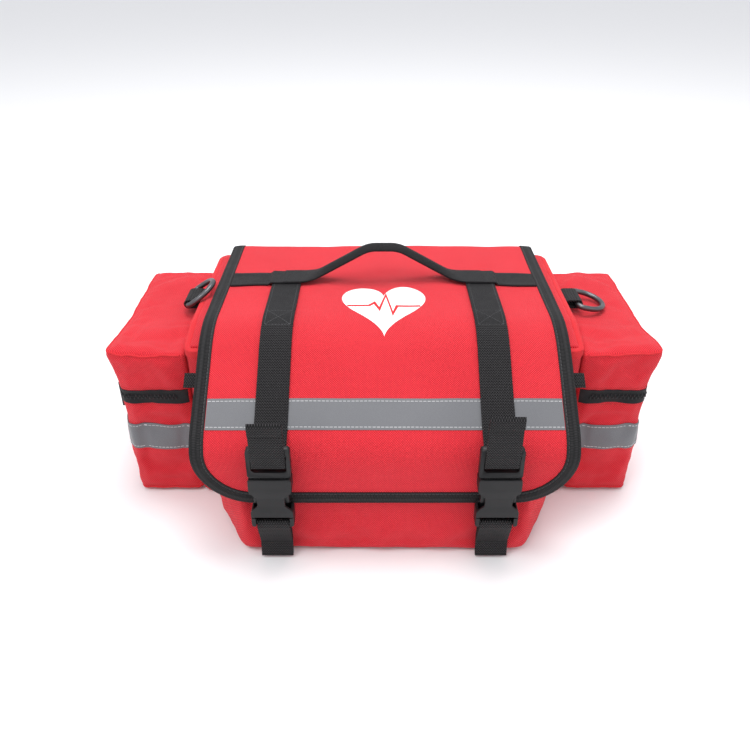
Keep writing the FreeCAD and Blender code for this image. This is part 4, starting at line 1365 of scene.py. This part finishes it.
def makeDivider(side):
    node, body = f"divider_{side}", f"{side}_divider"
    pad = soften(node, f"{side}_divider_pad", body, redLining, divider["soft"])
    low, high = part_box(node)
    size = (high.x - low.x + divider["capOver"], high.y - low.y - divider["capShort"], divider["capTall"])
    place = ((low.x + high.x) / 2, (low.y + high.y) / 2, high.z - divider["capDrop"])
    cap = boxUv(flatBar("cap", size, place, bevel=divider["capEdge"], segments=3))
    finishPiece(cap, f"{side}_divider_binding", body, blackTape)


def carryOver():
    for side in sides:
        makeSocket(side)
        soften(f"{side}_buckle_plug", f"{side}_plug_frame", "flap", buckleBlack,
               0.6 * mm, outline=2.2 * mm)
        for hand in sides:
            name = f"{side}_buckle_{hand}_arm"
            soften(name, f"{side}_{hand}_release_arm", name, buckleBlack, 0.7 * mm)
        for kind in ("slider", "pull"):
            name = f"{side}_zip_{kind}"
            soften(name, f"{name}_body", f"{side}_{kind}", zipEnamel, 0.45 * mm)
        ring = frame["nodes"][f"{side}_d_ring"]
        ring.data.materials.clear()
        ring.data.materials.append(ringSteel)
        smooth(ring, 60)
        makeDivider(side)
    soften("front_zip_slider", "front_zip_slider_body", "front_slider", zipEnamel, 0.4 * mm)
    soften("front_zip_tabs", "front_zip_end_tabs", "bag", blackWeb, 0.35 * mm)
    soften("base_board", "stiffening_board", "bag", boardGrey, 0.6 * mm)


carryOver()
bpy.data.objects.remove(tooth)
print("hard parts finished")


# floor, light and camera

def makeStudio():
    bpy.ops.mesh.primitive_plane_add(size=12, location=(0, 0, -0.4 * mm))
    floor = bpy.context.object
    floor.name = "floor"
    pale = newFinish("pale_floor", (0.9, 0.9, 0.9), 0.95)
    floor.data.materials.append(pale)
    world = bpy.data.worlds.new("studio")
    world.use_nodes = True
    world.node_tree.nodes["Background"].inputs[0].default_value = (0.95, 0.96, 1, 1)
    world.node_tree.nodes["Background"].inputs[1].default_value = 0.86
    bpy.context.scene.world = world
    lamps = {
        "key": ((-0.8, -0.9, 1.8), 0.8, 12),
        "fill": ((1.4, -0.9, 1.1), 1.2, 4),
        "top": ((0.1, 0.3, 1.9), 1.0, 24),
    }
    for name, (place, size, power) in lamps.items():
        lamp = bpy.data.lights.new(name, "AREA")
        lamp.size = size
        lamp.energy = power
        holder = bpy.data.objects.new(name, lamp)
        holder.location = place
        aim = Vector((0, 0, 0.08)) - Vector(place)
        holder.rotation_euler = aim.to_track_quat("-Z", "Y").to_euler()
        bpy.context.collection.objects.link(holder)


def makeCamera():
    view = {"place": (-0.0073, -0.5987, 0.4346), "down": 31.7, "lens": 35.7, "sensor": 36}
    bpy.context.scene.view_settings.view_transform = "Standard"
    camera = bpy.data.cameras.new("camera")
    camera.lens = view["lens"]
    camera.sensor_width = view["sensor"]
    camera.clip_start = 0.01
    holder = bpy.data.objects.new("camera", camera)
    holder.location = view["place"]
    holder.rotation_euler = (math.radians(90 - view["down"]), 0, 0)
    bpy.context.collection.objects.link(holder)
    bpy.context.scene.camera = holder


makeStudio()
makeCamera()
bpy.data.objects.remove(thread)
bpy.context.view_layer.update()
print("studio ready")
